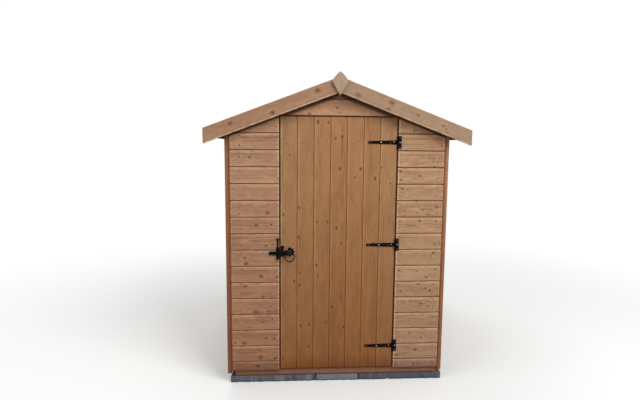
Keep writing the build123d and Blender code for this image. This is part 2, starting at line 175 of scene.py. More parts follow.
class Graph:
    """Node tree of a finish or of the world, written as expressions."""

    def __init__(self, tree: bpy.types.NodeTree) -> None:
        """Take a tree and empty it."""
        self.tree = tree
        tree.nodes.clear()

    def add(
        self, kind: str, settings: Optional[dict] = None, sockets: Optional[dict] = None
    ) -> bpy.types.Node:
        """Add one node.

        Args:
            kind: The node's type.
            settings: Its properties, which are set first.
            sockets: Values or links of its inputs, by name or number.

        Returns:
            The node.
        """
        node = self.tree.nodes.new(kind)
        for name, value in (settings or {}).items():
            setattr(node, name, value)
        for key, value in (sockets or {}).items():
            source = value.socket if isinstance(value, Num) else value
            if isinstance(source, Socket):
                self.tree.links.new(source, node.inputs[key])
            else:
                node.inputs[key].default_value = source
        return node

    def math(self, operation: str, *terms: Value) -> Num:
        """A Math node's result."""
        node = self.add("ShaderNodeMath", {"operation": operation}, dict(enumerate(terms)))
        return Num(self, node.outputs[0])

    def mix(self, share: Value, first: object, second: object, blend: str = "MIX") -> Socket:
        """Mix two colours.

        Args:
            share: Part of the second colour, from 0 to 1.
            first: Colour or socket.
            second: Colour or socket.
            blend: Blend type.

        Returns:
            The socket with the mixed colour.
        """
        colours = {6: first, 7: second}
        solid = {k: (*c, 1.0) if isinstance(c, tuple) else c for k, c in colours.items()}
        settings = {"data_type": "RGBA", "blend_type": blend, "clamp_factor": True}
        return self.add("ShaderNodeMix", settings, {0: share, **solid}).outputs[2]

    def coats(self, colour: object, *layers: tuple) -> Socket:
        """Lay colours over a colour, one after the other.

        Args:
            colour: The lowest colour.
            layers: Share and colour of each layer, and its blend type where that isn't MIX.

        Returns:
            The socket with all the layers.
        """
        for share, over, *blend in layers:
            colour = self.mix(share, colour, over, *blend)
        return colour

    def parts(self, vector: Socket) -> tuple[Num, Num, Num]:
        """The three numbers of a vector."""
        node = self.add("ShaderNodeSeparateXYZ", None, {0: vector})
        return tuple(Num(self, socket) for socket in node.outputs)

    def attribute(self, name: str) -> tuple[Num, Num, Num]:
        """The three numbers that a mesh carries under this name."""
        node = self.add("ShaderNodeAttribute", {"attribute_name": name})
        return self.parts(node.outputs["Vector"])

    def join(self, x: Value, y: Value, z: Value) -> Socket:
        """A vector from three numbers."""
        return self.add("ShaderNodeCombineXYZ", None, {0: x, 1: y, 2: z}).outputs[0]

    def noise(self, vector: Socket, factors: Union[float, Site], detail: float = 2.0) -> Num:
        """Noise from about 0.2 to 0.8 around a half.

        Args:
            vector: Place in metres.
            factors: Spots per metre, the same for all axes or one for each.
            detail: Finer layers.

        Returns:
            The noise.
        """
        each = factors if isinstance(factors, tuple) else (factors,) * 3
        stretch = self.add("ShaderNodeVectorMath", {"operation": "MULTIPLY"}, {0: vector, 1: each})
        sockets = {"Vector": stretch.outputs[0], "Scale": 1.0, "Detail": detail}
        return Num(self, self.add("ShaderNodeTexNoise", None, sockets).outputs[0])

    def rest_place(self) -> Socket:
        """Place in the piece's own coordinates, which are the frame's at rest."""
        return self.add("ShaderNodeTexCoord").outputs["Object"]

    def surface(
        self, colour: Socket, roughness: Value, height: Num, relief: float, **constants: float
    ) -> None:
        """End the tree in a surface shader.

        Args:
            colour: Base colour.
            roughness: Roughness.
            height: What the bump follows.
            relief: Height in metres of a bump of 1.
            constants: specular or metallic, the same all over.
        """
        names = {"specular": "Specular IOR Level", "metallic": "Metallic"}
        bump = {"Strength": 1.0, "Distance": relief, "Height": height}
        normal = self.add("ShaderNodeBump", None, bump).outputs[0]
        sockets = {"Base Color": colour, "Roughness": roughness, "Normal": normal}
        sockets |= {names[key]: value for key, value in constants.items()}
        shader = self.add("ShaderNodeBsdfPrincipled", None, sockets)
        self.add("ShaderNodeOutputMaterial", None, {"Surface": shader.outputs[0]})


def new_material(name: str, lay: Callable[[Graph], None]) -> bpy.types.Material:
    """Make a material.

    Args:
        name: Its name.
        lay: Lays its nodes in a graph.

    Returns:
        The material.
    """
    material = bpy.data.materials.new(name)
    material.use_nodes = True
    lay(Graph(material.node_tree))
    return material


@dataclass(frozen=True)
class Coat:
    """What every finish has: a name, and the nodes of its material."""

    name: str

    def nodes(self, graph: Graph) -> None:
        """Lay the finish's nodes in a graph."""
        raise NotImplementedError


@dataclass(frozen=True)
class Timber(Coat):
    """Softwood with year rings that bend round its knots, under a wood stain.

    It reads what Stock writes on each board: place, pith, tone and knots.
    """

    early: Colour
    late: Colour
    # bare: pale worn wood, also used for painted highlights; joint: dark joints, also used for
    # painted shade.
    bare_and_highlight: Colour = shade(228, 196, 160)
    joint: Colour = shade(100, 41, 5)
    knot: Colour = shade(84, 44, 24)
    # Darker towards the bottom: partly painted shade, partly stain.
    foot: Colour = (1.0, 1.0, 1.0)
    foot_span: tuple[float, float] = (-0.5, 1.9)
    # Darker still in a band at the bottom.
    low_band: Colour = (1.0, 1.0, 1.0)
    low_band_span: tuple[float, float] = (0.09, 0.225)
    # Painted shadow under the barge boards: height of its line at the middle, its slope, width and
    # colour; then painted light on a wider band below it.
    shadow_line: float = 0.0
    shadow_slope: float = 0.389
    shadow_width: float = 0.016
    shadow_colour: Colour = shade(62, 28, 8)
    painted_light_under_roof: Colour = (1.5, 1.47, 1.42)
    orange: Colour = (1.0, 0.82, 0.66)
    pink: Colour = (0.98, 1.05, 1.18)
    ring_pitch: float = 0.0046
    ring_share: float = 0.42
    streak_share: float = 0.6
    blotch_share: float = 0.75
    mottle_share: float = 0.75
    fibre_share: float = 0.5
    tone_share: float = 0.07
    roughness: float = 0.62
    relief: float = 0.0003

    def knots(self, graph: Graph, along: Num, across: Num) -> tuple[Value, Value]:
        """Find what the knots do at a place.

        Args:
            graph: The graph.
            along: Place along the board.
            across: Place across it.

        Returns:
            How far the grain bends, and the distance to the nearest knot in its radii.
        """
        bend: Value = 0.0
        nearest: Value = 9.0
        for index in range(KNOTS):
            knot_along, knot_across, radius = graph.attribute(f"knot_{index}")
            run = (along - knot_along) * 0.75
            rise = across - knot_across
            square = run * run + rise * rise
            core = radius * radius
            bend = rise * core / (square + core * 0.35) + bend
            nearest = (square.root() / radius).least(nearest)
        return bend, nearest

    def nodes(self, graph: Graph) -> None:
        """Lay rings, streaks, fibres and knots, then worn edges, painted highlights and painted
        shade, darkening towards the bottom, and painted shadow and painted light under the roof's
        edge.

        Args:
            graph: The graph to fill.
        """
        along, across, depth = graph.attribute("place")
        pith_across, pith_depth, seed = graph.attribute("pith")
        tone, warmth, wear_and_painted_light = graph.attribute("tone")
        bend, nearest = self.knots(graph, along, across)
        spot = graph.join(along + seed, across, depth)

        wander = graph.noise(spot, (1.3, 7, 7), 1.0) - 0.5
        side = across - pith_across - bend * 1.3
        deep = depth - pith_depth + along * 0.006
        radial = (side * side + deep * deep).root() + wander * 0.03
        ring = graph.math("FRACT", radial / self.ring_pitch)
        late = ring.rise(0.35, 0.9) * (1 - ring.rise(0.92, 1.0))
        streak = graph.noise(graph.join(radial * 85, along * 0.7, seed), 1) - 0.5
        fibre = graph.noise(spot, (16, 900, 900)) - 0.5
        blotch = graph.noise(spot, (4, 16, 16), 3.0) - 0.5
        mottle = graph.noise(spot, (22, 75, 75)) - 0.5
        dark = late * self.ring_share + streak * self.streak_share + fibre * self.fibre_share
        dark = dark + blotch * self.blotch_share + mottle * self.mottle_share
        dark = dark + tone * self.tone_share + 0.18

        ragged = nearest * 1.12 + (graph.noise(spot, (120, 170, 170)) - 0.5) * 1.3
        halo = 1 - ragged.rise(0.6, 1.9)
        core = 1 - ragged.rise(0.45, 0.95)
        inner = graph.math("SINE", nearest * 16) * 0.15 + 0.85
        patchiness = graph.noise(spot, (30, 70, 70), 1.0).rise(0.36, 0.6) * 0.65 + 0.35
        x, _, z = graph.parts(graph.rest_place())
        colour = graph.coats(
            self.early,
            (dark, self.late),
            (warmth * 0.06 + 0.15, self.orange, "MULTIPLY"),
            (warmth * -1.0 - 1.0, self.pink, "MULTIPLY"),
            # A faint pale ring round each knot: partly paler wood, partly a painted glint.
            (ragged.rise(1.5, 2.1) * (1 - ragged.rise(2.1, 3.2)) * 0.05, self.bare_and_highlight),
            (halo * 0.42, graph.mix(0.5, self.late, self.knot)),
            (core * inner * 0.92, self.knot),
            # Paler with worn wood and painted highlights, darker with stain and painted shade.
            (wear_and_painted_light * patchiness * 0.95, self.bare_and_highlight),
            (wear_and_painted_light * -0.92, self.joint),
            # Darker towards the bottom, partly painted shade, and darker still in a band at the
            # bottom.
            (1 - z.rise(*self.foot_span), self.foot, "MULTIPLY"),
            (1 - z.rise(*self.low_band_span), self.low_band, "MULTIPLY"),
        )
        # Painted shadow just under the barge boards, and painted light on a wider band below it.
        if self.shadow_line:
            under = z + abs(x) * self.shadow_slope - self.shadow_line
            painted_shadow = under.rise(-self.shadow_width, -self.shadow_width * 0.3) * 0.88
            painted_light_under_roof = (under.rise(-0.13, -0.03), self.painted_light_under_roof, "MULTIPLY")
            colour = graph.coats(colour, painted_light_under_roof, (painted_shadow, self.shadow_colour))
        bump = fibre * 0.7 - late * 0.5 - core * 0.8
        graph.surface(colour, self.roughness + fibre * 0.2, bump, self.relief, specular=0.35)


@dataclass(frozen=True)
class Iron(Coat):
    """Forged iron under black lacquer."""

    colour: Colour = shade(11, 8, 7)
    dust: Colour = shade(62, 50, 40)
    roughness: float = 0.55
    gloss: float = 0.06
    relief: float = 0.00035

    def nodes(self, graph: Graph) -> None:
        """Lay hammer marks, grit and dust.

        Args:
            graph: The graph to fill.
        """
        spot = graph.rest_place()
        dust = graph.noise(spot, (45, 45, 60), 3.0).rise(0.52, 0.75)
        height = graph.noise(spot, 150) + graph.noise(spot, 1400, 1.0) * 0.12
        colour = graph.mix(dust * 0.1, self.colour, self.dust)
        roughness = self.roughness + dust * 0.2
        graph.surface(colour, roughness, height, self.relief, specular=self.gloss)


@dataclass(frozen=True)
class Steel(Coat):
    """Plated or weathered steel of screws and nails."""

    colour: Colour
    tarnish: Colour
    tarnish_share: float
    metallic: float = 0.9
    roughness: float = 0.35
    relief: float = 0.00004

    def nodes(self, graph: Graph) -> None:
        """Lay tarnish and scratches.

        Args:
            graph: The graph to fill.
        """
        spot = graph.rest_place()
        stain = graph.noise(spot, 320).rise(0.4, 0.7) * self.tarnish_share
        scratches = graph.noise(spot, (2500, 2500, 900), 1.0)
        colour = graph.mix(stain, self.colour, self.tarnish)
        roughness = self.roughness + stain * 0.3
        graph.surface(colour, roughness, scratches, self.relief, metallic=self.metallic)


@dataclass(frozen=True)
class Concrete(Coat):
    """Grey-blue paving concrete, dusty and damp in upright patches."""

    colour: Colour = shade(96, 99, 108)
    damp: Colour = shade(64, 65, 73)
    dust: Colour = shade(142, 143, 146)
    rosy: Colour = shade(104, 92, 104)
    palest: Colour = shade(150, 155, 164)
    darkest: Colour = shade(30, 32, 38)
    # Colour of the painted contact shadow along the slabs' foot.
    contact_shadow: Colour = shade(30, 28, 30)
    shadow: Colour = shade(26, 22, 20)
    sand: Colour = shade(40, 40, 44)
    # Reach and fade of the painted shade under the shed.
    painted_light_under_roof: tuple[float, float] = (0.738, 1.062)
    painted_shade_fade: float = 0.008
    top: tuple[float, float] = (0.045, 0.049)

    def nodes(self, graph: Graph) -> None:
        """Lay patches, sand and pits, painted shade under the shed and a painted contact shadow
        along the slabs' foot.

        Args:
            graph: The graph to fill.
        """
        spot = graph.rest_place()
        x, y, z = graph.parts(spot)
        under = z.rise(*self.top)
        for way, reach in zip((x, y), self.painted_light_under_roof):
            under = under * (reach - abs(way)).rise(0.0, self.painted_shade_fade)
        pale = graph.attribute("tone")[0]
        grain = graph.noise(spot, 420, 3.0)
        colour = graph.coats(
            self.colour,
            (graph.noise(spot, (9, 9, 2), 3.0).rise(0.42, 0.62), self.damp),
            (graph.noise(spot, (14, 14, 5)).rise(0.55, 0.72) * 0.7, self.dust),
            (graph.noise(spot, (12, 12, 9)).rise(0.5, 0.66) * 0.45, self.rosy),
            (graph.noise(spot, (60, 60, 4)).rise(0.56, 0.74) * 0.6, self.dust),
            (pale, self.palest),
            (pale * -1.0, self.darkest),
            # Painted contact shadow along the slabs' foot.
            (0.9 - z.rise(0.001, 0.012) * 0.9, self.contact_shadow),
            # Painted shade under the shed.
            (under * 0.9, self.shadow),
            ((grain - 0.5) * 0.9 + 0.12, self.sand),
        )
        height = grain * 0.6 - graph.noise(spot, 170, 1.0).rise(0.62, 0.72)
        graph.surface(colour, 0.86, height, 0.0007, specular=0.3)


@dataclass(frozen=True)
class Felt(Coat):
    """Mineral roofing felt with its grit of crushed slate."""

    colour: Colour = shade(70, 74, 72)
    dark: Colour = shade(38, 40, 40)
    pale: Colour = shade(120, 124, 120)

    def nodes(self, graph: Graph) -> None:
        """Lay grit, pale flakes and wrinkles.

        Args:
            graph: The graph to fill.
        """
        spot = graph.rest_place()
        grit = graph.noise(spot, 620)
        colour = graph.coats(
            self.colour,
            (graph.noise(spot, 3.5, 3.0).rise(0.35, 0.7) * 0.5, self.dark),
            (grit.rise(0.5, 0.62) * 0.7, self.dark),
            (graph.noise(spot, 900, 0.0).rise(0.64, 0.7) * 0.8, self.pale),
        )
        wrinkle = graph.noise(spot, (7, 2.2, 7))
        graph.surface(colour, 0.9, grit * 0.35 + wrinkle * 1.6, 0.0011, specular=0.25)


# Height at the middle of the painted shadow under the front barge boards.
SHADOW_LINE = 2.0246


class Finish(Enum):
    """The finishes of the shed."""

    # The gable boards are lighter than the wall boards: painted light on the top of the front.
    GABLE = Timber(
        "stained_gable_boards", shade(196, 150, 115), shade(126, 82, 54),
        shadow_line=SHADOW_LINE, shadow_width=0.038,
    )
    WALL = Timber(
        "stained_wall_boards", shade(190, 146, 113), shade(120, 77, 50), foot=(0.7, 0.62, 0.58)
    )
    SHADY = Timber(
        "stained_left_boards", shade(184, 143, 110), shade(116, 75, 48),
        foot=(0.75, 0.59, 0.55), low_band=(0.7, 0.69, 0.7), shadow_line=SHADOW_LINE,
    )
    LIT = Timber(
        "stained_right_boards", shade(186, 147, 110), shade(121, 81, 50),
        foot=(0.94, 0.94, 1.04), low_band=(0.68, 0.61, 0.64), shadow_line=SHADOW_LINE, streak_share=0.5,
    )
    DOOR = Timber(
        "stained_door_boards", shade(172, 125, 81), shade(114, 69, 36),
        foot=(0.66, 0.48, 0.25), low_band=(0.66, 0.54, 0.3),
        ring_share=0.3, streak_share=0.3, mottle_share=0.45, fibre_share=0.35,
    )
    # The left barge boards are darker and more orange, the right ones paler: partly their own
    # colour, partly painted light.
    SHADY_BARGE = Timber(
        "stained_left_barge_boards", shade(170, 131, 101), shade(121, 82, 55),
        knot=shade(98, 52, 28), ring_share=0.2,
    )
    LIT_BARGE = Timber(
        "stained_right_barge_boards", shade(165, 137, 109), shade(120, 88, 64),
        knot=shade(124, 72, 46), ring_share=0.2,
    )
    CORNER = Timber(
        "stained_corner_trims", shade(163, 112, 73), shade(108, 64, 37), foot=(0.66, 0.54, 0.42)
    )
    KITE = Timber("stained_finials", shade(175, 150, 127), shade(138, 111, 89), ring_share=0.25)
    # The framing's joint colour is the colour of the painted shade in the gaps round the door.
    FRAME = Timber(
        "stained_framing", shade(190, 136, 88), shade(124, 76, 42),
        joint=shade(84, 30, 0), relief=0.0005, ring_share=0.5,
    )
    EAVES = Timber("shaded_eaves", shade(84, 66, 52), shade(50, 38, 30))
    FLOOR = Timber("stained_floor_boards", shade(146, 102, 74), shade(96, 60, 40), relief=0.0004)
    JOIST = Timber("stained_joists", shade(143, 100, 76), shade(99, 66, 47), relief=0.0004)
    IRON = Iron("black_lacquered_iron")
    RUBBED = Iron("rubbed_black_iron", roughness=0.34, gloss=0.2, relief=0.00012)
    ZINC = Steel("zinc_screws", shade(205, 203, 196), shade(120, 112, 100), 0.35)
    BLUED = Steel("blued_screws", shade(188, 196, 208), shade(120, 118, 114), 0.3)
    WORN = Steel("worn_screws", shade(156, 150, 142), shade(92, 80, 70), 0.5)
    DULL = Steel("dull_screws", shade(92, 86, 80), shade(48, 38, 32), 0.7)
    RUSTY = Steel("rusty_screws", shade(132, 96, 78), shade(74, 44, 30), 0.7, 0.6)
    NAIL = Steel("nail_heads", shade(58, 40, 30), shade(28, 18, 13), 0.8, 0.2, 0.6)
    CLOUT = Steel("galvanised_clouts", shade(150, 152, 150), shade(96, 92, 84), 0.5, 0.9, 0.5)
    CONCRETE = Concrete("slab_concrete")
    FELT = Felt("mineral_felt")


@cache
def finish_material(finish: Finish) -> bpy.types.Material:
    """The material of a finish, built once."""
    return new_material(finish.value.name, finish.value.nodes)


@dataclass(frozen=True)
class Extent:
    """Box of a node or of one solid in it."""

    low: Vector
    high: Vector

    @classmethod
    def of(cls, node: str) -> "Extent":
        """The box of a node at rest."""
        return cls(*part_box(node))

    @classmethod
    def around(cls, points: Iterable[Vector]) -> "Extent":
        """The box around points."""
        cloud = np.array([tuple(p) for p in points])
        return cls(Vector(cloud.min(0)), Vector(cloud.max(0)))

    @property
    def centre(self) -> Vector:
        """Its middle."""
        return (self.low + self.high) / 2

    @property
    def size(self) -> Vector:
        """Its sides."""
        return self.high - self.low


def off_slope(sign: int) -> Vector:
    """The way that a slope of the roof faces, -1 for the left one and 1 for the right."""
    return Vector((sign * math.sin(PITCH), 0, math.cos(PITCH)))


def under_ridge(ridge: Vector, x: float) -> Vector:
    """The point of a gable at this X whose slopes meet at the ridge's point."""
    return Vector((x, ridge.y, ridge.z - SLOPE * abs(x)))


def shells(mesh: Mesh) -> list[list[Corner]]:
    """Split a mesh into its separate solids.

    Args:
        mesh: The mesh.

    Returns:
        The corners of each solid.
    """
    found, seen = [], set()
    for start in mesh.verts:
        if start in seen:
            continue
        shell, waiting = [], [start]
        seen.add(start)
        while waiting:
            vert = waiting.pop()
            shell.append(vert)
            for edge in vert.link_edges:
                other = edge.other_vert(vert)
                if other not in seen:
                    seen.add(other)
                    waiting.append(other)
        found.append(shell)
    return found


def frame_mesh(node: str) -> Mesh:
    """Copy a node's mesh, with each flat side as one face.

    Args:
        node: The node.

    Returns:
        The copy.
    """
    mesh = bmesh.new()
    mesh.from_mesh(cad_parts[node].data)
    bmesh.ops.remove_doubles(mesh, verts=mesh.verts, dist=WELD)
    bmesh.ops.dissolve_limit(mesh, angle_limit=FLAT, verts=mesh.verts, edges=mesh.edges)
    return mesh


def solids(node: str) -> list[Extent]:
    """Find the boxes of a node's solids.

    Args:
        node: The node.

    Returns:
        The boxes, by their lowest corner.
    """
    mesh = frame_mesh(node)
    boxes = [Extent.around(v.co for v in shell) for shell in shells(mesh)]
    mesh.free()
    return sorted(boxes, key=lambda box: tuple(round(c, 4) for c in box.low))


def skin(mesh: Mesh, rings: Iterable[Iterable[Vector]]) -> list[list[Corner]]:
    """Add a closed solid from rings of points.

    Args:
        mesh: The mesh to add to.
        rings: Rings with the same number of points, from one end to the other.

    Returns:
        The corners of each ring.
    """
    made = [[mesh.verts.new(point) for point in ring] for ring in rings]
    for first, second in zip(made, made[1:]):
        for i in range(len(first)):
            j = (i + 1) % len(first)
            mesh.faces.new((first[i], first[j], second[j], second[i]))
    mesh.faces.new(made[0][::-1])
    mesh.faces.new(made[-1])
    return made


def slice_mesh(mesh: Mesh, place: Vector, normal: Vector, **options: bool) -> list:
    """Cut a mesh at a plane.

    Args:
        mesh: The mesh.
        place: A point of the plane.
        normal: Its normal.
        options: Passed on to bisect_plane.

    Returns:
        The edges and corners of the cut.
    """
    geometry = [*mesh.verts, *mesh.edges, *mesh.faces]
    plane = {"plane_co": place, "plane_no": normal}
    return bmesh.ops.bisect_plane(mesh, geom=geometry, dist=CUT, **plane, **options)["geom_cut"]


def soften(mesh: Mesh, width: float, angle: float = 25) -> None:
    """Round the arrises of a mesh.

    Args:
        mesh: The mesh, changed in place.
        width: Width of the rounding.
        angle: Least angle in degrees of an edge that gets it.
    """
    limit = math.radians(angle)
    edges = [e for e in mesh.edges if len(e.link_faces) == 2 and e.calc_face_angle() > limit]
    bmesh.ops.bevel(
        mesh, geom=edges, offset=width, segments=2, profile=0.5, affect="EDGES", clamp_overlap=True
    )


def mount(
    name: str, mesh: Mesh, finish: Finish, body: Body, slot: Slot,
    nodes: Sequence[str] = (), smooth: float = 32,
) -> None:
    """Turn a mesh into a piece of the shed.

    Args:
        name: The piece's name.
        mesh: Its mesh, which is freed.
        finish: Its finish.
        body: The body that it rides on.
        slot: Not used.
        nodes: CAD nodes that it stands for.
        smooth: Greatest angle in degrees between faces that shade as one.
    """
    bmesh.ops.recalc_face_normals(mesh, faces=mesh.faces)
    for face in mesh.faces:
        face.smooth = True
    limit = math.radians(smooth)
    for edge in mesh.edges:
        edge.smooth = len(edge.link_faces) == 2 and edge.calc_face_angle() < limit
    data = bpy.data.meshes.new(name)
    mesh.to_mesh(data)
    mesh.free()
    data.materials.append(finish_material(finish))
    piece = bpy.data.objects.new(name, data)
    bpy.context.scene.collection.objects.link(piece)
    piece.modifiers.new("flat_sides", "WEIGHTED_NORMAL").keep_sharp = True
    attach(piece, body.value)
    if nodes:
        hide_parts(*nodes)
    log.info("%s: %d faces on %s", name, len(data.polygons), body.value)


def dress(node: str, finish: Finish, body: Body, slot: Slot, arris: float, angle: float) -> None:
    """Give a node rounded arrises and a finish.

    Args:
        node: The node.
        finish: Its finish.
        body: The body that it rides on.
        slot: Passed on to mount(), which does not use it.
        arris: Rounding of the arrises.
        angle: Least angle in degrees of an edge that is rounded.
    """
    mesh = frame_mesh(node)
    soften(mesh, arris, angle)
    mount(f"dressed_{node}", mesh, finish, body, slot, [node])


class Stock:
    """Boards and battens that become one piece, each with its own grain, tone and knots."""

    KNOT_PLACES = (0.15, 0.85)
    KNOT_SPREAD = 0.46
    KNOT_RADII = (0.004, 0.0105)
    WIDEST_KNOT = 0.16
    PITH_SPREAD = 0.6
    PITH_DEPTHS = (0.012, 0.07)
    GRAIN_SEEDS = (0, 40)

    def __init__(self, seed: int, mesh: Optional[Mesh] = None) -> None:
        """Start empty or with a mesh.

        Args:
            seed: Seed of this piece's chances.
            mesh: Mesh to take over.
        """
        self.mesh = mesh or bmesh.new()
        self.chance = random.Random(seed)
        layers = self.mesh.verts.layers.float_vector
        names = ["place", "pith", "tone", *(f"knot_{i}" for i in range(KNOTS))]
        for name in names:
            layers.new(name)
        self.place, self.pith, self.tone, *self.knots = [layers[name] for name in names]

    def some_knots(self, length: float, width: float, spacing: float) -> list[Vector]:
        """Draw chance knots on a board.

        Args:
            length: The board's length.
            width: Its width.
            spacing: Mean distance between knots along it.

        Returns:
            Place along and across from the board's middle, and radius, of each.
        """
        draw = self.chance.uniform
        count = min(KNOTS, int(length / spacing + self.chance.random()))
        knots = []
        for index in range(count):
            along = ((index + draw(*self.KNOT_PLACES)) / count - 0.5) * length
            across = draw(-self.KNOT_SPREAD, self.KNOT_SPREAD) * width
            radius = min(draw(*self.KNOT_RADII), width * self.WIDEST_KNOT)
            knots.append(Vector((along, across, radius)))
        return knots

    def sited(self, box: Extent, axes: Sequence[Vector], sites: Sequence[Vector]) -> list[Vector]:
        """Pick the knots of a list that lie on a board.

        Args:
            box: The board's box along its own axes.
            axes: Those axes.
            sites: Knots as a place on the board's face and a radius.

        Returns:
            Place along and across from the board's middle, and radius, largest first.
        """
        knots = []
        for site in sites:
            along, across = (site.to_3d().dot(axis) for axis in axes[:2])
            if box.low.x < along < box.high.x and box.low.y < across < box.high.y:
                knots.append(Vector((along - box.centre.x, across - box.centre.y, site.w)))
        return sorted(knots, key=lambda knot: -knot.z)[:KNOTS]

    def grain(
        self, verts: Sequence[Corner], axes: Sequence[Vector],
        sites: Optional[Sequence[Site]] = None, spacing: float = 0.42,
        tone: Optional[float] = None, warmth: Optional[float] = None,
    ) -> None:
        """Write one board's grain on its corners.

        Args:
            verts: The board's corners.
            axes: Directions along the grain, across the face and into the board.
            sites: Knots that show, as X, Z and radius in millimetres. None for chance knots.
            spacing: Mean distance between chance knots.
            tone: How dark the board is, from -1 to 1. None for a chance tone.
            warmth: How orange it is, from -1 to 1, or below -1 how pink. None for chance.
        """
        local = [Vector([v.co.dot(axis) for axis in axes]) for v in verts]
        box = Extent.around(local)
        length, width, thick = box.size
        if sites is None:
            knots = self.some_knots(length, width, spacing)
        else:
            face = min(v.co.y for v in verts)
            metres = [(part / PER_METRE for part in site) for site in sites]
            places = [Vector((x, face, z, radius)) for x, z, radius in metres]
            knots = self.sited(box, axes, places)
        knots += [NO_KNOT] * (KNOTS - len(knots))
        draw = self.chance.uniform
        pith_across = draw(-self.PITH_SPREAD, self.PITH_SPREAD) * width
        pith_depth = thick / 2 + draw(*self.PITH_DEPTHS)
        pith = Vector((pith_across, pith_depth, draw(*self.GRAIN_SEEDS)))
        chance_tone, chance_warmth = draw(-1, 1), draw(-1, 1)
        tone = chance_tone if tone is None else tone
        warmth = chance_warmth if warmth is None else warmth
        for vert, at in zip(verts, local):
            vert[self.place] = at - box.centre
            vert[self.pith] = pith
            vert[self.tone] = Vector((tone, warmth, vert[self.tone].z))
            for layer, knot in zip(self.knots, knots):
                vert[layer] = knot

    def prism(
        self, outline: Sequence[Vector], sweep: Vector, across: Vector,
        wear_and_painted_light: Sequence[float] = (), ends: Sequence[Outline] = ((), ()), **grain: object,
    ) -> None:
        """Add one board as an outline swept along its grain.

        Args:
            outline: Corners of its section at one end.
            sweep: The way to its other end.
            across: Direction across its face.
            wear_and_painted_light: Paleness of each corner of the outline, to 1, from worn wood and
                painted highlights, or darkness, to -1, from stain and painted shade.
            ends: Way from the start and the paleness or darkness there, and the same from the other
                end.
            grain: Passed on to grain().
        """
        length = sweep.length
        stations = list(ends[0]) or [(0.0, 0.0)]
        stations += [(length - way, bare_and_highlight) for way, bare_and_highlight in reversed(ends[1])] or [(length, 0.0)]
        steps = [sweep * (way / length) for way, _ in stations]
        rings = skin(self.mesh, [[point + step for point in outline] for step in steps])
        for ring, (_, at_end) in zip(rings, stations):
            for vert, own in zip(ring, wear_and_painted_light or [0.0] * len(ring)):
                darker = min(own, at_end)
                vert[self.tone] = Vector((0, 0, darker if darker < 0 else max(own, at_end)))
        verts = [vert for ring in rings for vert in ring]
        along = sweep.normalized()
        self.grain(verts, (along, across, along.cross(across)), **grain)

    def cut(self, place: Vector, outward: Vector) -> None:
        """Saw off everything beyond a plane and close the cut ends.

        Args:
            place: A point of the plane.
            outward: Its normal, towards what goes.
        """
        cut = slice_mesh(self.mesh, place, outward, clear_outer=True)
        edges = [part for part in cut if isinstance(part, bmesh.types.BMEdge)]
        bmesh.ops.holes_fill(self.mesh, edges=edges, sides=0)


def carried_timber(
    node: str, finish: Finish, body: Body, slot: Slot, seed: int, arris: float = 0.0009,
    sites: Optional[Sequence[Site]] = None, cuts: Sequence[tuple[Vector, Vector]] = (),
    wear_and_painted_light: Optional[Callable[[Vector], float]] = None,
    shape: Optional[Callable[[Vector], Vector]] = None,
) -> None:
    """Dress a node's battens with rounded arrises and a grain that runs along each.

    Args:
        node: The node.
        finish: Its finish.
        body: The body that it rides on.
        slot: Passed on to mount(), which does not use it.
        seed: Seed of its chances.
        arris: Rounding of the arrises.
        sites: Knots that show, or None for chance ones.
        cuts: Point and normal of planes where its paleness or darkness changes.
        wear_and_painted_light: Gives the paleness or darkness of a corner, from worn wood, stain
            and painted light and shade.
        shape: Gives the place that a corner gets.
    """
    mesh = frame_mesh(node)
    if shape:
        for vert in mesh.verts:
            vert.co = shape(vert.co)
    soften(mesh, arris)
    for place, way in cuts:
        slice_mesh(mesh, place, way)
    stock = Stock(seed, mesh)
    if wear_and_painted_light:
        for vert in mesh.verts:
            vert[stock.tone] = Vector((0, 0, wear_and_painted_light(vert.co)))
    for shell in shells(mesh):
        cloud = np.array([tuple(v.co) for v in shell])
        _, axes = np.linalg.eigh(np.cov((cloud - cloud.mean(0)).T))
        along, across = Vector(axes[:, 2]), Vector(axes[:, 1])
        stock.grain(shell, (along, across, along.cross(across)), sites=sites)
    mount(f"dressed_{node}", mesh, finish, body, slot, [node])


class Fixings:
    """Nail and screw heads that become one piece."""

    RINGS = ((1.0, -0.3), (1.0, 0.35), (0.86, 0.8), (0.55, 1.0))
    CROSS = (
        (4, -1), (4, 1), (1, 1), (1, 4), (-1, 4), (-1, 1),
        (-4, 1), (-4, -1), (-1, -1), (-1, -4), (1, -4), (1, -1),
    )
    RECESS = ((0.115, 1.0), (0.092, 0.1))
    SCATTER = (7919, 5077)

    def __init__(self) -> None:
        """Start with no heads."""
        self.mesh = bmesh.new()

    def head(
        self, place: Vector, outward: Vector, radius: float, dome: float, crossed: bool = False
    ) -> None:
        """Add one head, turned by chance but always alike at the same place.

        Args:
            place: Its middle on the surface that it sits on.
            outward: The way that it faces.
            radius: Its radius.
            dome: How far it stands out.
            crossed: Whether it has a cross recess.
        """
        side = outward.orthogonal().normalized()
        x, z = self.SCATTER
        turn = math.radians((place.x * x + place.z * z) * 1000 % 90)
        side.rotate(Matrix.Rotation(turn, 3, outward))
        up = outward.cross(side)

        def ring(points: Outline, height: float) -> list[Vector]:
            """Points of one ring around the head's axis."""
            lift = outward * height
            return [place + side * a * radius + up * b * radius + lift for a, b in points]

        angles = [math.atan2(b, a) for a, b in self.CROSS]
        rings = []
        for r, height in self.RINGS:
            circle = [(r * math.cos(t), r * math.sin(t)) for t in angles]
            rings.append(ring(circle, height * dome))
        if crossed:
            for arm, height in self.RECESS:
                rings.append(ring([(a * arm, b * arm) for a, b in self.CROSS], height * dome))
        skin(self.mesh, rings)

    def mount(self, name: str, finish: Finish = Finish.NAIL, body: Body = Body.SHED) -> None:
        """Turn the heads into a piece."""
        mount(name, self.mesh, finish, body, Slot.IRON)


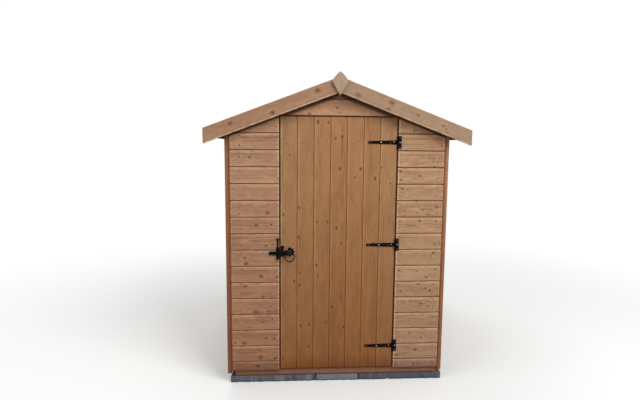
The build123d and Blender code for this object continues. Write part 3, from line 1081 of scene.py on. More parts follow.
def turned(mesh: Mesh, profile: Outline, place: Vector, axis: Vector, sides: int = 40) -> None:
    """Add a turned solid.

    Args:
        mesh: The mesh to add to.
        profile: Radius and way along the axis, from one end to the other.
        place: Where the axis starts.
        axis: Unit vector along it.
        sides: Corners around it.
    """
    side = axis.orthogonal().normalized()
    up = axis.cross(side)
    angles = [2 * math.pi * i / sides for i in range(sides)]
    rings = []
    for radius, way in profile:
        spokes = [(side * math.cos(a) + up * math.sin(a)) * radius for a in angles]
        rings.append([place + axis * way + spoke for spoke in spokes])
    skin(mesh, rings)


@dataclass
class Slabs:
    """Paving slabs under the shed, with worn and chipped arrises."""

    arris: float = 0.004
    chip: float = 0.0035
    step: float = 0.02
    sliver: float = 0.1
    front_row: float = -1.0
    front_joints: tuple[float, float] = (-0.2, 0.2)
    front_paleness: tuple[float, ...] = (0.08, 0.47, -0.22)
    paleness: float = 0.3

    def slab(self, mesh: Mesh, box: Extent, pale: float) -> None:
        """Add one slab inside its box.

        Args:
            mesh: The mesh to add to.
            box: The slab's box.
            pale: How pale it is, from 0 to 1, or how dark, to -1.
        """
        part = bmesh.new()
        layer = part.verts.layers.float_vector.new("tone")
        fitted = Matrix.Translation(box.centre) @ Matrix.Diagonal((*box.size, 1))
        bmesh.ops.create_cube(part, size=1, matrix=fitted)
        for axis in range(3):
            cuts = int(box.size[axis] / self.step) if axis < 2 else 1
            for index in range(1, cuts + 1):
                at = box.low.copy()
                at[axis] += box.size[axis] * index / (cuts + 1)
                slice_mesh(part, at, (X, Y, Z)[axis])
        soften(part, self.arris, 45)
        for vert in part.verts:
            inset = vert.co - box.centre
            near = [abs(abs(inset[k]) - box.size[k] / 2) < self.arris * 1.5 for k in range(3)]
            if sum(near) >= 2:
                worn = max(0.0, noise.noise(vert.co * 60) + 0.1)
                worn = worn + max(0.0, noise.noise(vert.co * 17) - 0.2) * 1.5
                for k in range(3):
                    if near[k]:
                        vert.co[k] -= math.copysign(worn * self.chip, inset[k])
            vert[layer] = Vector((pale, 0, 0))
        held = bpy.data.meshes.new("held")
        part.to_mesh(held)
        part.free()
        mesh.from_mesh(held)
        bpy.data.meshes.remove(held)

    def build(self) -> None:
        """Build every slab of the base."""
        mesh = bmesh.new()
        for box in solids("base_slabs"):
            pale = self.paleness
            if box.low.y < self.front_row and box.size.x > self.sliver:
                pale = self.front_paleness[sum(box.centre.x >= x for x in self.front_joints)]
            self.slab(mesh, box, pale)
        mount("concrete_slabs", mesh, Finish.CONCRETE, Body.SHED, Slot.SLAB, ["base_slabs"], 50)


@dataclass
class Floor:
    """Grooved floor boards on joists."""

    boards: int = 14
    groove: float = 0.002
    gap: float = 0.0004
    # Painted shade on the front top of the floor boards, under the door.
    front_end: Outline = ((0.0, -0.3), (0.0008, -0.9), (0.02, -0.9), (0.03, 0.0))
    # Painted contact shadow along the joists' foot: its height and darkness.
    shadow_edge: float = 0.056
    contact_shade: float = -0.8
    packer: float = 0.026
    packer_bite: float = 0.0005
    nail_shares: tuple[float, float] = (0.25, 0.75)
    nail_radius: float = 0.0022
    nail_dome: float = 0.0005

    def planks(self, box: Extent) -> None:
        """Build the boards in their box.

        Args:
            box: The box of all the boards.
        """
        stock = Stock(11)
        width = box.size.x / self.boards
        top, groove = box.high.z, self.groove
        for index in range(self.boards):
            left = box.low.x + index * width
            right = left + width - self.gap
            section = (
                (left, box.low.z), (right, box.low.z), (right, top - groove),
                (right - groove, top), (left + groove, top), (left, top - groove),
            )
            outline = [Vector((x, box.low.y, z)) for x, z in section]
            stock.prism(outline, Y * box.size.y, X, ends=(self.front_end, ()))
        mount("floor_planks", stock.mesh, Finish.FLOOR, Body.SHED, Slot.FLOOR, ["floor_boards"])

    def build(self) -> None:
        """Build the boards, dress the joists and pack the front one out to the corner."""
        box = Extent.of("floor_boards")
        self.planks(box)
        # Painted contact shadow along the foot of the joists.
        damp = self.shadow_edge
        carried_timber(
            "floor_joists", Finish.JOIST, Body.SHED, Slot.FLOOR, 12,
            cuts=[(Z * damp, Z), (Z * (damp + SEAM), Z)],
            wear_and_painted_light=lambda at: self.contact_shade if at.z < damp + SEAM / 2 else 0.0,
        )
        joists = solids("floor_joists")
        front = min(joists, key=lambda joist: joist.low.y)
        low, high = front.low, front.high
        section = ((low.y, low.z), (high.y, low.z), (high.y, high.z), (low.y, high.z))
        packer = Stock(13)
        outline = [Vector((high.x - self.packer_bite, y, z)) for y, z in section]
        packer.prism(outline, X * self.packer, Z)
        mount("sill_packer", packer.mesh, Finish.JOIST, Body.SHED, Slot.FLOOR)
        nails = Fixings()
        width = box.size.x / self.boards
        for joist in joists:
            for index in range(self.boards):
                for share in self.nail_shares:
                    x = box.low.x + (index + share) * width
                    at = Vector((x, joist.centre.y, box.high.z - SUNK))
                    nails.head(at, Z, self.nail_radius, self.nail_dome)
        nails.mount("floor_nails")


# Knots that show, as X, Z and radius in millimetres.
WALL_KNOTS: tuple[Site, ...] = (
    (-662, 1668, 7), (-596, 1592, 9), (-583, 1633, 6), (-666, 1596, 6), (-479, 1215, 12),
    (-554, 1131, 10), (-453, 1136, 8), (-488, 988, 9), (-446, 998, 6), (-634, 905, 8),
    (-627, 863, 14), (-653, 826, 8), (-526, 773, 12), (-415, 768, 9), (-634, 703, 9),
    (-511, 628, 9), (-672, 1210, 6), (-562, 515, 14), (-474, 522, 9), (-458, 558, 6),
    (-605, 410, 6), (-517, 445, 6), (-448, 466, 7), (-632, 386, 10), (-643, 294, 13),
    (-710, 298, 7), (-494, 327, 8), (-438, 321, 8), (-660, 269, 7), (-532, 188, 14),
    (-430, 177, 10), (-551, 125, 11), (-10, 1924, 8), (12, 1890, 6), (-197, 1884, 9),
    (710, 1679, 8), (629, 1597, 5), (661, 1591, 5), (663, 1535, 6), (430, 1502, 7), (561, 1472, 8),
    (432, 1442, 6), (684, 1429, 5), (446, 1382, 7), (424, 1339, 5), (547, 1294, 5), (420, 1253, 5),
    (467, 1236, 6), (592, 1236, 6), (549, 1218, 5), (634, 1204, 6), (688, 1256, 8), (574, 1160, 9),
    (437, 1155, 5), (686, 1154, 5), (732, 1040, 5), (718, 1007, 5), (683, 990, 5), (676, 933, 9),
    (659, 910, 6), (439, 808, 7), (564, 804, 6), (695, 815, 6), (631, 758, 9), (626, 729, 6),
    (578, 709, 9), (422, 699, 5), (631, 677, 8), (663, 662, 9), (452, 658, 8), (716, 624, 6),
    (501, 617, 6), (679, 604, 7), (522, 585, 6), (603, 565, 8), (474, 568, 5), (653, 545, 7),
    (415, 542, 6), (518, 441, 5), (674, 433, 5), (527, 351, 8), (609, 316, 7), (627, 381, 5),
    (571, 224, 10), (442, 190, 8), (560, 122, 8), (595, 118, 6), (426, 115, 6),
)
DOOR_KNOTS: tuple[Site, ...] = (
    (-139, 1831, 10), (-69, 1828, 8), (-27, 1829, 7), (-223, 1827, 6), (-19, 1721, 8),
    (26, 1734, 9), (-328, 1610, 7), (-268, 1252, 10), (-370, 1205, 9), (-140, 1152, 8),
    (-68, 1152, 8), (-7, 1109, 10), (-265, 1045, 9), (-133, 989, 6), (29, 1004, 8), (-143, 851, 9),
    (-87, 850, 6), (-259, 797, 7), (-131, 775, 7), (-296, 738, 9), (-260, 706, 10), (-10, 644, 6),
    (-250, 416, 9), (-191, 423, 8), (-72, 441, 8), (50, 400, 9), (4, 361, 6), (-33, 546, 8),
    (-193, 263, 7), (-146, 231, 6), (-65, 229, 7), (-374, 176, 8), (13, 1521, 10), (37, 1469, 6),
    (154, 1518, 10), (115, 1460, 7), (254, 1454, 10), (298, 1529, 8), (360, 1421, 6),
    (389, 1820, 7),
)
BARGE_KNOTS: tuple[Site, ...] = (
    (-148, 2027, 15), (-438, 1882, 14), (-712, 1812, 11), (-160, 1966, 7), (119, 2002, 15),
    (343, 1957, 17), (319, 1914, 12), (521, 1879, 9), (691, 1809, 9), (710, 1788, 7),
    (720, 1768, 6),
)


@dataclass
class Walls:
    """Shiplap boards on their frames, with battens over the corners."""

    cover: float = 0.1142
    first_joint: float = 0.161
    most_joints: int = 30
    tallest: float = 3.0
    least_board: float = 0.001
    uneven: float = 0.0004
    cove_depth: float = 0.006
    cove_height: float = 0.012
    # Joint lines, wider on the right of the door: dark from stain in the joints and painted shadow
    # under each lip, then a pale cove of painted highlight.
    cove_light_and_shade: tuple[float, ...] = (-1.0, -1.0, -0.8, 0.0, 0.22, 0.3, 0.3)
    lit_cove_light_and_shade: tuple[float, ...] = (-1.0, -1.0, -1.0, -0.6, 0.1, 0.24, 0.26)
    # A paler face just below each cove: painted highlight.
    under_cove: Outline = ((0.009, 0.26), (0.017, 0.0))
    faint_above: float = 1.95
    faint: float = 0.08
    thick: float = 0.012
    tongue: float = 0.007
    play: float = 0.0004
    arris: float = 0.0008
    # lap_edge: a pale arris, then painted shade under the lip; foot_edge: painted shadow along the
    # lowest boards' foot.
    lap_edge: Outline = ((0.003, 0.12), (0.0008, -0.25))
    foot_edge: Outline = ((0.014, 0.0), (0.007, -0.55), (0.0008, -1.0))
    # The dark first millimetres of hinge_end, left_end and right_end are painted shade in the gaps
    # beside the door and the trims.
    latch_end: Outline = ((0.0, 0.95), (0.005, 0.75), (0.009, 0.0))
    hinge_end: Outline = ((0.0, -0.8), (0.003, -0.7), (0.0045, 0.8), (0.009, 0.5), (0.013, 0.0))
    left_end: Outline = ((0.0, -0.8), (0.007, -0.6), (0.009, 0.45), (0.014, 0.0))
    right_end: Outline = ((0.0, -0.7), (0.004, -0.5), (0.006, 0.5), (0.011, 0.0))
    butt_end: Outline = ((0.0, -0.8), (0.0025, -0.5), (0.004, 0.0))
    butt: tuple[float, float] = (0.515, 1.875)
    nail_rises: tuple[float, float] = (0.031, 0.089)
    nail_clear: tuple[float, float] = (0.015, 0.02)
    nail_radius: float = 0.003
    nail_dome: float = 0.0006
    front_columns: tuple[float, ...] = (-0.663, -0.412, 0.432, 0.687)
    stud_foot: float = 0.2
    doorway_face: float = -1.054
    # Darkness of the painted shade in the gaps round the door and beside the corner trims.
    gap_shade: float = -0.85
    trim_seams: tuple[float, float] = (0.738, 0.7475)
    # Painted shade on the left trim, painted light on the right one, for its inner and outer half.
    left_trim: tuple[float, float] = (-0.34, -0.15)
    right_trim: tuple[float, float] = (0.0, 0.2)
    trim_arris: float = 0.0015

    def section(
        self, low: float, high: float, lipped: bool, hollowed: bool, lit: bool
    ) -> list[Site]:
        """Outline of one board.

        Args:
            low: Height of its lower edge.
            high: Height of its upper joint.
            lipped: Whether it laps over a board below.
            hollowed: Whether a board above laps over it.
            lit: Whether it is right of the door, where the joints look wider.

        Returns:
            Heights, depths from the outer face, and paleness or darkness, from stain and painted
            light and shade.
        """
        edge = self.lap_edge if lipped else self.foot_edge
        points = [(low + rise, 0.0, wear_and_painted_light) for rise, wear_and_painted_light in edge]
        # Painted shade under each board's lower edge.
        points.append((low, self.arris, -0.9 if lipped else -1.0))
        if lipped:
            rebate = low + self.tongue + 0.001
            lip = self.cove_depth - self.play
            points += [(low, lip, -1.0), (rebate, lip, -1.0), (rebate, self.thick, 0.0)]
        else:
            points.append((low, self.thick, 0.0))
        if not hollowed:
            return points + [(high, self.thick, 0.0), (high, 0.0, 0.0)]
        centre = (self.cove_height**2 - self.cove_depth**2) / (2 * self.cove_depth)
        radius = centre + self.cove_depth
        tongue = high + self.tongue
        points += [(tongue, self.thick, 0.0), (tongue, self.cove_depth + self.play, -1.0)]
        weight = self.faint if high > self.faint_above else 1.0
        cove = self.lit_cove_light_and_shade if lit else self.cove_light_and_shade
        for step, wear_and_painted_light in enumerate(cove):
            drop = self.cove_height * step / (len(cove) - 1)
            points.append((high - drop, math.sqrt(radius**2 - drop**2) - centre, wear_and_painted_light * weight))
        base = high - self.cove_height
        return points + [(base - drop, 0.0, wear_and_painted_light) for drop, wear_and_painted_light in self.under_cove]

    def levels(self, low: float, high: float) -> list[float]:
        """Work out where the boards of a run meet.

        Args:
            low: Height of the lowest edge.
            high: Height of the highest edge.

        Returns:
            Heights of the lower edge, the joints and the upper edge.
        """
        joints = [self.first_joint + k * self.cover for k in range(self.most_joints)]
        least = self.least_board
        return [low, *[z for z in joints if low + least < z < high - least], high]

    def run(
        self, stock: Stock, start: Vector, along: Vector, inward: Vector, low: float, high: float,
        lapped: bool = False, capped: bool = False, lit: bool = False,
        ends: Sequence[Outline] = ((), ()), **grain: object,
    ) -> None:
        """Board one stretch of wall.

        Args:
            stock: What the boards are added to.
            start: Point of the outer face at the stretch's start, at height 0.
            along: The way to its end.
            inward: Unit vector into the wall.
            low: Height of the lowest edge.
            high: Height of the highest edge.
            lapped: Whether it laps over boards below.
            capped: Whether boards above lap over it.
            lit: Whether it is right of the door.
            ends: Paleness or darkness of the boards' ends, as prism() takes it.
            grain: Passed on to Stock.grain().
        """
        edges = self.levels(low, high)
        butt_x, butt_z = self.butt
        for index, (bottom, top) in enumerate(zip(edges, edges[1:])):
            lipped = lapped or index > 0
            hollowed = capped or index < len(edges) - 2
            sunk = inward * stock.chance.uniform(0.0, self.uneven)
            section = self.section(bottom, top, lipped, hollowed, lit)
            outline = [start + sunk + Z * height + inward * depth for height, depth, _ in section]
            wear_and_painted_light = [wear_and_painted_light for _, _, wear_and_painted_light in section]
            way = butt_x - start.x
            butted = bottom < butt_z - self.cover / 2 < top and 0 < way < along.x
            if butted and outline[0].y < 0:
                stock.prism(outline, X * way, Z, wear_and_painted_light, (ends[0], self.butt_end), **grain)
                outline = [point + X * way for point in outline]
                stock.prism(outline, along - X * way, Z, wear_and_painted_light, (self.butt_end, ends[1]), **grain)
            else:
                stock.prism(outline, along, Z, wear_and_painted_light, ends, **grain)

    def clad(
        self, name: str, node: str, seed: int, finish: Finish, inward: Vector,
        top: Optional[float] = None, ridge: Optional[float] = None, **style: object,
    ) -> Extent:
        """Board one stretch of wall in place of its node.

        Args:
            name: The piece's name.
            node: The node.
            seed: Seed of its boards.
            finish: Its finish.
            inward: The way into the wall.
            top: Height where the boards end, or None for the node's own.
            ridge: Height of the slopes that they are cut to, or None to leave them square.
            style: Passed on to run().

        Returns:
            The node's box.
        """
        box = Extent.of(node)
        start = Vector([box.high[k] if inward[k] < 0 else box.low[k] for k in range(2)] + [0])
        along = Y * box.size.y if inward.x else X * box.size.x
        stock = Stock(seed)
        self.run(stock, start, along, inward, box.low.z, top or box.high.z, **style)
        if ridge:
            for sign in (-1, 1):
                stock.cut(Z * ridge, off_slope(sign))
        mount(name, stock.mesh, finish, Body.SHED, Slot.WALL, [node])
        return box

    def nail(self, name: str, tops: Iterable[Vector], outward: Vector, low: float) -> None:
        """Nail every board of a wall on upright lines.

        Args:
            name: The wall.
            tops: The upper end of each line.
            outward: The way that the wall faces.
            low: Height where the boards start.
        """
        nails = Fixings()
        levels = self.levels(low, self.tallest)
        for end in tops:
            for bottom, top in zip(levels, levels[1:]):
                for rise in self.nail_rises:
                    height = top - self.cover + rise
                    if bottom + self.nail_clear[0] < height < end.z - self.nail_clear[1]:
                        at = Vector((end.x, end.y, height)) - outward * SUNK
                        nails.head(at, outward, self.nail_radius, self.nail_dome)
        nails.mount(f"{name}_nails")

    def front(self) -> None:
        """Board the door's side."""
        gable = Extent.of("front_cladding_gable")
        ridge = Vector((0, gable.low.y, gable.high.z))
        style = {"ridge": ridge.z, "sites": WALL_KNOTS}
        beside = {"top": gable.low.z, "capped": True, **style}
        left = self.clad(
            "front_boards_left", "front_cladding_left", 21, Finish.SHADY, Y,
            ends=(self.left_end, self.latch_end), **beside,
        )
        self.clad(
            "front_boards_right", "front_cladding_right", 22, Finish.LIT, Y,
            ends=(self.hinge_end, self.right_end), lit=True, **beside,
        )
        self.clad(
            "gable_boards", "front_cladding_gable", 23, Finish.GABLE, Y, lapped=True, **style
        )
        self.nail("front", [under_ridge(ridge, x) for x in self.front_columns], -Y, left.low.z)

    def back(self) -> None:
        """Board the back."""
        ridge = Extent.of("back_cladding").high
        box = self.clad(
            "back_boards", "back_cladding", 31, Finish.WALL, -Y, ridge=ridge.z, spacing=0.3
        )
        columns = [s.centre.x for s in solids("back_studs") if s.low.z < self.stud_foot]
        self.nail("back", [under_ridge(ridge, x) for x in columns], Y, box.low.z)

    def side(self, name: str, sign: int, seed: int) -> None:
        """Board one side.

        Args:
            name: left or right.
            sign: -1 for the left, 1 for the right.
            seed: Seed of its boards.
        """
        boards, node = f"{name}_boards", f"{name}_cladding"
        box = self.clad(boards, node, seed, Finish.WALL, X * -sign, spacing=0.33)
        outer = box.high.x if sign > 0 else box.low.x
        tops = [Vector((outer, s.centre.y, box.high.z)) for s in solids(f"{name}_studs")]
        self.nail(name, tops, X * sign, box.low.z)

    def shade_in_door_gap(self, at: Vector) -> float:
        """Painted shade on the framing that shows round the door."""
        return self.gap_shade if at.y < self.doorway_face else 0.0

    def trim_light_and_shade(self, at: Vector) -> float:
        """Painted light and shade on a trim: its inner half is darker, most of all beside the
        boards and on the left.

        Args:
            at: A corner of the trim.

        Returns:
            Its painted light and shade.
        """
        clear_of_boards, outer = (abs(at.x) >= seam + SEAM / 2 for seam in self.trim_seams)
        if not clear_of_boards:
            return self.gap_shade
        return (self.left_trim if at.x < 0 else self.right_trim)[outer]

    def build(self) -> None:
        """Build the walls."""
        self.front()
        self.back()
        self.side("left", -1, 41)
        self.side("right", 1, 42)
        for index, part in enumerate(("front", "back", "left", "right")):
            wear_and_painted_light = self.shade_in_door_gap if part == "front" else None
            for kind, seed in (("studs", 50), ("rails", 60)):
                node = f"{part}_{kind}"
                carried_timber(
                    node, Finish.FRAME, Body.SHED, Slot.FRAME, seed + index, wear_and_painted_light=wear_and_painted_light
                )
        seams = [x for seam in self.trim_seams for x in (seam, seam + SEAM)]
        cuts = [(X * (sign * x), X) for sign in (-1, 1) for x in seams]
        carried_timber(
            "corner_trims", Finish.CORNER, Body.SHED, Slot.TRIM, 70, self.trim_arris,
            cuts=cuts, wear_and_painted_light=self.trim_light_and_shade,
        )


@dataclass
class Roof:
    """Grooved boards under felt, with barge boards and finials at both gables."""

    boards: int = 9
    groove: float = 0.003
    gap: float = 0.0004
    board_thick: float = 0.011
    felt_arris: float = 0.0007
    clout_spacing: float = 0.075
    clout_radius: float = 0.0048
    clout_dome: float = 0.0012
    clout_inset: float = 0.014
    cap_inset: tuple[float, float, float] = (0.018, 0.03, 0.01)
    eaves_rise: float = 0.02
    below_cap: float = 0.05
    barge_wide: float = 0.09
    barge_deeper: float = 0.005
    barge_arris: float = 0.0012
    # Widths of the painted highlights along the lower and upper edges; then painted shade
    # underneath and the highlights' strength.
    lit_low_edge: float = 0.007
    lit_high_edge: float = 0.003
    barge_light_and_shade: tuple[float, float, float] = (-0.6, 0.95, 0.35)
    underside: float = 0.0003
    finial_arris: float = 0.0008
    finial_edge: float = 0.0012
    # Painted shade on each finial away from its outer face: its chamfers, sides and back.
    finial_side_shade: float = -0.4

    def deck(self, name: str, sign: int, seed: int) -> None:
        """Build the boards of one slope.

        Args:
            name: left or right.
            sign: -1 for the left, 1 for the right.
            seed: Seed of its boards.
        """
        node = f"roof_boards_{name}"
        box = Extent.of(node)
        down = Vector((sign * math.cos(PITCH), 0, -math.sin(PITCH)))
        plumb = self.board_thick / math.cos(PITCH)
        cover = box.size.x / self.boards
        groove = self.groove
        stock = Stock(seed)
        for index in range(self.boards):
            left, right = index * cover, (index + 1) * cover - self.gap
            over = [(x, box.high.z - SLOPE * x) for x in (left, right)]
            nicked = [(x, z - plumb + groove) for x, z in over]
            under = [(x, box.high.z - SLOPE * x - plumb) for x in (right - groove, left + groove)]
            corners = [*over, nicked[1], *under, nicked[0]]
            outline = [Vector((sign * x, box.low.y, z)) for x, z in corners]
            stock.prism(outline, Y * box.size.y, down, spacing=0.35)
        mount(f"roof_planks_{name}", stock.mesh, Finish.FRAME, Body.SHED, Slot.FRAME, [node])

    def barge(self, node: str, sign: int, seed: int) -> None:
        """Dress one barge board, with painted highlights along both edges and painted shade
        underneath.

        Args:
            node: Its node.
            sign: -1 for the left slope, 1 for the right.
            seed: Seed of its chances.
        """
        up = off_slope(sign)
        top = Extent.of(node).high.z * math.cos(PITCH)
        low = top - self.barge_wide - self.barge_deeper + self.lit_low_edge
        high = top - self.lit_high_edge
        underside_shade, low_edge_light, high_edge_light = self.barge_light_and_shade
        cuts = [(up * way, up) for way in (low, low + SEAM, high - SEAM, high)]

        def lit_edges(at: Vector) -> float:
            """Painted highlights near the edges, painted shade underneath.

            Args:
                at: A corner of the board.

            Returns:
                Its painted light and shade.
            """
            way = at.dot(up)
            if way < low - self.lit_low_edge + self.underside:
                return underside_shade
            return low_edge_light if way < low + SEAM / 2 else high_edge_light if way > high - SEAM / 2 else 0.0

        def deeper(at: Vector) -> Vector:
            """The lower edge hangs as low as in the photograph."""
            hangs = at.dot(up) < top - self.barge_wide + SEAM
            return at - Z * self.barge_deeper / math.cos(PITCH) if hangs else at

        carried_timber(
            node, Finish.SHADY_BARGE if sign < 0 else Finish.LIT_BARGE, Body.SHED, Slot.TRIM, seed,
            self.barge_arris, BARGE_KNOTS if "front" in node else None, cuts, lit_edges, deeper,
        )

    def felt(self) -> None:
        """Dress the felt and nail it with clouts."""
        for node in ("roof_felt_left", "roof_felt_right", "ridge_felt"):
            dress(node, Finish.FELT, Body.SHED, Slot.FELT, self.felt_arris, 25)
        clouts = Fixings()
        cap, sheet = Extent.of("ridge_felt"), Extent.of("roof_felt_right")
        from_edge, from_front, from_back = self.cap_inset
        for sign in (-1, 1):
            up = off_slope(sign)
            places = []
            y = cap.low.y + from_front
            while y < cap.high.y - from_back:
                x = cap.high.x - from_edge
                places.append((x, y, cap.high.z - SLOPE * x, up))
                places.append((sheet.high.x, y, sheet.low.z + self.eaves_rise, X * sign))
                y += self.clout_spacing
            for y in (sheet.low.y + self.clout_inset, sheet.high.y - self.clout_inset):
                x = cap.high.x + self.below_cap
                while x < sheet.high.x - self.eaves_rise:
                    places.append((x, y, sheet.high.z - SLOPE * x, up))
                    x += self.clout_spacing
            for x, y, z, outward in places:
                at = Vector((sign * x, y, z))
                clouts.head(at, outward, self.clout_radius, self.clout_dome)
        clouts.mount("felt_clouts", Finish.CLOUT)

    def build(self) -> None:
        """Build the roof."""
        self.deck("left", -1, 81)
        self.deck("right", 1, 82)
        self.felt()
        carried_timber("roof_purlins", Finish.FRAME, Body.SHED, Slot.FRAME, 83)
        carried_timber("eaves_rails", Finish.EAVES, Body.SHED, Slot.FRAME, 84)
        for index, part in enumerate(("front_left", "front_right", "back_left", "back_right")):
            self.barge(f"barge_board_{part}", -1 if part.endswith("left") else 1, 90 + index)
        for index, part in enumerate(("front", "back")):
            box = Extent.of(f"finial_{part}")
            outer = box.low.y if part == "front" else box.high.y
            carried_timber(
                f"finial_{part}", Finish.KITE, Body.SHED, Slot.TRIM, 95 + index,
                self.finial_arris, (),
                wear_and_painted_light=lambda at: 0.0 if abs(at.y - outer) < self.finial_edge else self.finial_side_shade,
            )


@dataclass
class Door:
    """Grooved and tongued boards on ledges and braces."""

    bevel: float = 0.004
    play: float = 0.0003
    tongue: float = 0.004
    tongue_short: float = 0.0005
    uneven: float = 0.0003
    tongue_shares: tuple[float, float] = (0.42, 0.66)
    tones: tuple[float, ...] = (-0.9, -0.6, -0.7, -0.1, -1.0, -0.2, -1.6)
    warmths: tuple[float, ...] = (-1.9, -1.3, 0.0, 0.4, 0.0, 0.2, -1.6)
    nail_spread: float = 0.026
    nail_zigzag: float = 0.009
    nail_stray: tuple[float, float] = (0.006, 0.004)
    nail_radius: float = 0.0032
    nail_dome: float = 0.0005

    def section(
        self, left: float, right: float, thick: float, first: bool, last: bool
    ) -> list[Site]:
        """Outline of one board.

        Args:
            left: X of its left edge.
            right: X of its right edge.
            thick: Its thickness.
            first: Whether it is the leftmost.
            last: Whether it is the rightmost.

        Returns:
            X, depth, and the painted light and shade of its corners.
        """
        near, far = (thick * share for share in self.tongue_shares)
        bevel, tongue = self.bevel, self.tongue
        # Painted light and shade: each joint is dark on its left bevel and pale on its right one,
        # the first board is paler beside its left edge, and the door's outer edge faces are dark.
        if first:
            start = left
            side = [(0.008, 0, 0), (0.006, 0, 0.3), (0.001, 0, 0.5)]
            side += [(0, 0.001, -0.6), (0, thick, -1)]
        else:
            start = left + self.play
            side = [(bevel + 0.008, 0, 0), (bevel + 0.005, 0, 0.14), (bevel, 0, 0.34)]
            side += [(0, bevel, -0.3), (0, near, 0), (tongue, near, 0), (tongue, far, 0)]
            side += [(0, far, 0), (0, thick, 0)]
        points = [(start + x, depth, wear_and_painted_light) for x, depth, wear_and_painted_light in side]
        if last:
            side = [(0, thick, -1), (0, 0.001, -1), (-0.001, 0, -0.9), (-0.0035, 0, 0)]
        else:
            near, far, reach = near + self.play, far - self.play, tongue - self.tongue_short
            side = [(0, thick, 0), (0, far, 0), (reach, far, 0), (reach, near, 0), (0, near, 0)]
            side += [(0, bevel, -0.6), (-bevel, 0, -0.22), (-bevel - 0.002, 0, 0)]
        return points + [(right + x, depth, wear_and_painted_light) for x, depth, wear_and_painted_light in side]

    def build(self) -> None:
        """Build the door."""
        box = Extent.of("door_boards")
        boards, thick = len(self.tones), box.size.y
        width = box.size.x / boards
        stock = Stock(101)
        for index, (tone, warmth) in enumerate(zip(self.tones, self.warmths)):
            left = box.low.x + index * width
            section = self.section(left, left + width, thick, index == 0, index == boards - 1)
            sunk = stock.chance.uniform(0, self.uneven)
            outline = []
            for x, depth, _ in section:
                y = box.low.y + sunk + depth * (1 - sunk / thick)
                outline.append(Vector((x, y, box.low.z)))
            wear_and_painted_light = [wear_and_painted_light for _, _, wear_and_painted_light in section]
            looks = {"sites": DOOR_KNOTS, "tone": tone, "warmth": warmth}
            stock.prism(outline, Z * box.size.z, X, wear_and_painted_light, **looks)
        mount("door_planks", stock.mesh, Finish.DOOR, Body.DOOR, Slot.DOOR, ["door_boards"])
        for node, seed in (("door_ledges", 102), ("door_braces", 103)):
            carried_timber(node, Finish.FRAME, Body.DOOR, Slot.DOOR, seed)
        nails, draw = Fixings(), stock.chance.uniform
        wide, high = self.nail_stray
        for ledge in solids("door_ledges"):
            for index in range(boards):
                for side in (-1, 1):
                    middle = box.low.x + (index + 0.5) * width
                    x = middle + side * self.nail_spread + draw(-wide, wide)
                    z = ledge.centre.z + side * self.nail_zigzag + draw(-high, high)
                    at = Vector((x, box.low.y, z))
                    nails.head(at, -Y, self.nail_radius, self.nail_dome)
        nails.mount("door_nails", body=Body.DOOR)


def dress_iron(node: str, body: Body, arris: float) -> None:
    """Give an iron node rounded arrises and black lacquer."""
    dress(node, Finish.IRON, body, Slot.IRON, arris, 40)


@dataclass
class Hinges:
    """Three black T hinges and their screws."""

    arris: float = 0.0006
    leaf_thick: float = 0.003
    screw_radius: float = 0.0042
    screw_dome: float = 0.0014
    knuckle_radius: float = 0.0065
    strap_screws: tuple[tuple[float, float, Finish], ...] = (
        (0.1864, 0.0, Finish.RUSTY), (0.1145, 0.0, Finish.ZINC),
        (0.051, -0.004, Finish.DULL), (0.0273, 0.003, Finish.WORN),
    )
    plate_screws: tuple[tuple[float, float, Finish], ...] = (
        (-0.0157, -0.031, Finish.DULL), (-0.0157, 0.0, Finish.BLUED), (-0.0157, 0.031, Finish.DULL)
    )

    def build(self) -> None:
        """Dress the leaves of each hinge and put their screws in."""
        face = Extent.of("front_cladding_gable").low.y - self.leaf_thick
        leaves = (("strap", Body.DOOR, self.strap_screws), ("plate", Body.SHED, self.plate_screws))
        for level in ("top", "middle", "bottom"):
            pin = Extent.of(f"hinge_strap_{level}").high.x - self.knuckle_radius
            for kind, body, _ in leaves:
                dress_iron(f"hinge_{kind}_{level}", body, self.arris)
            for kind, body, screws in leaves:
                middle = Vector((pin, face, Extent.of(f"hinge_{kind}_{level}").centre.z))
                for index, (reach, rise, finish) in enumerate(screws):
                    heads = Fixings()
                    at = middle + Vector((-reach, 0, rise))
                    heads.head(at, -Y, self.screw_radius, self.screw_dome, crossed=True)
                    heads.mount(f"{kind}_{level}_screw_{index}", finish, body)


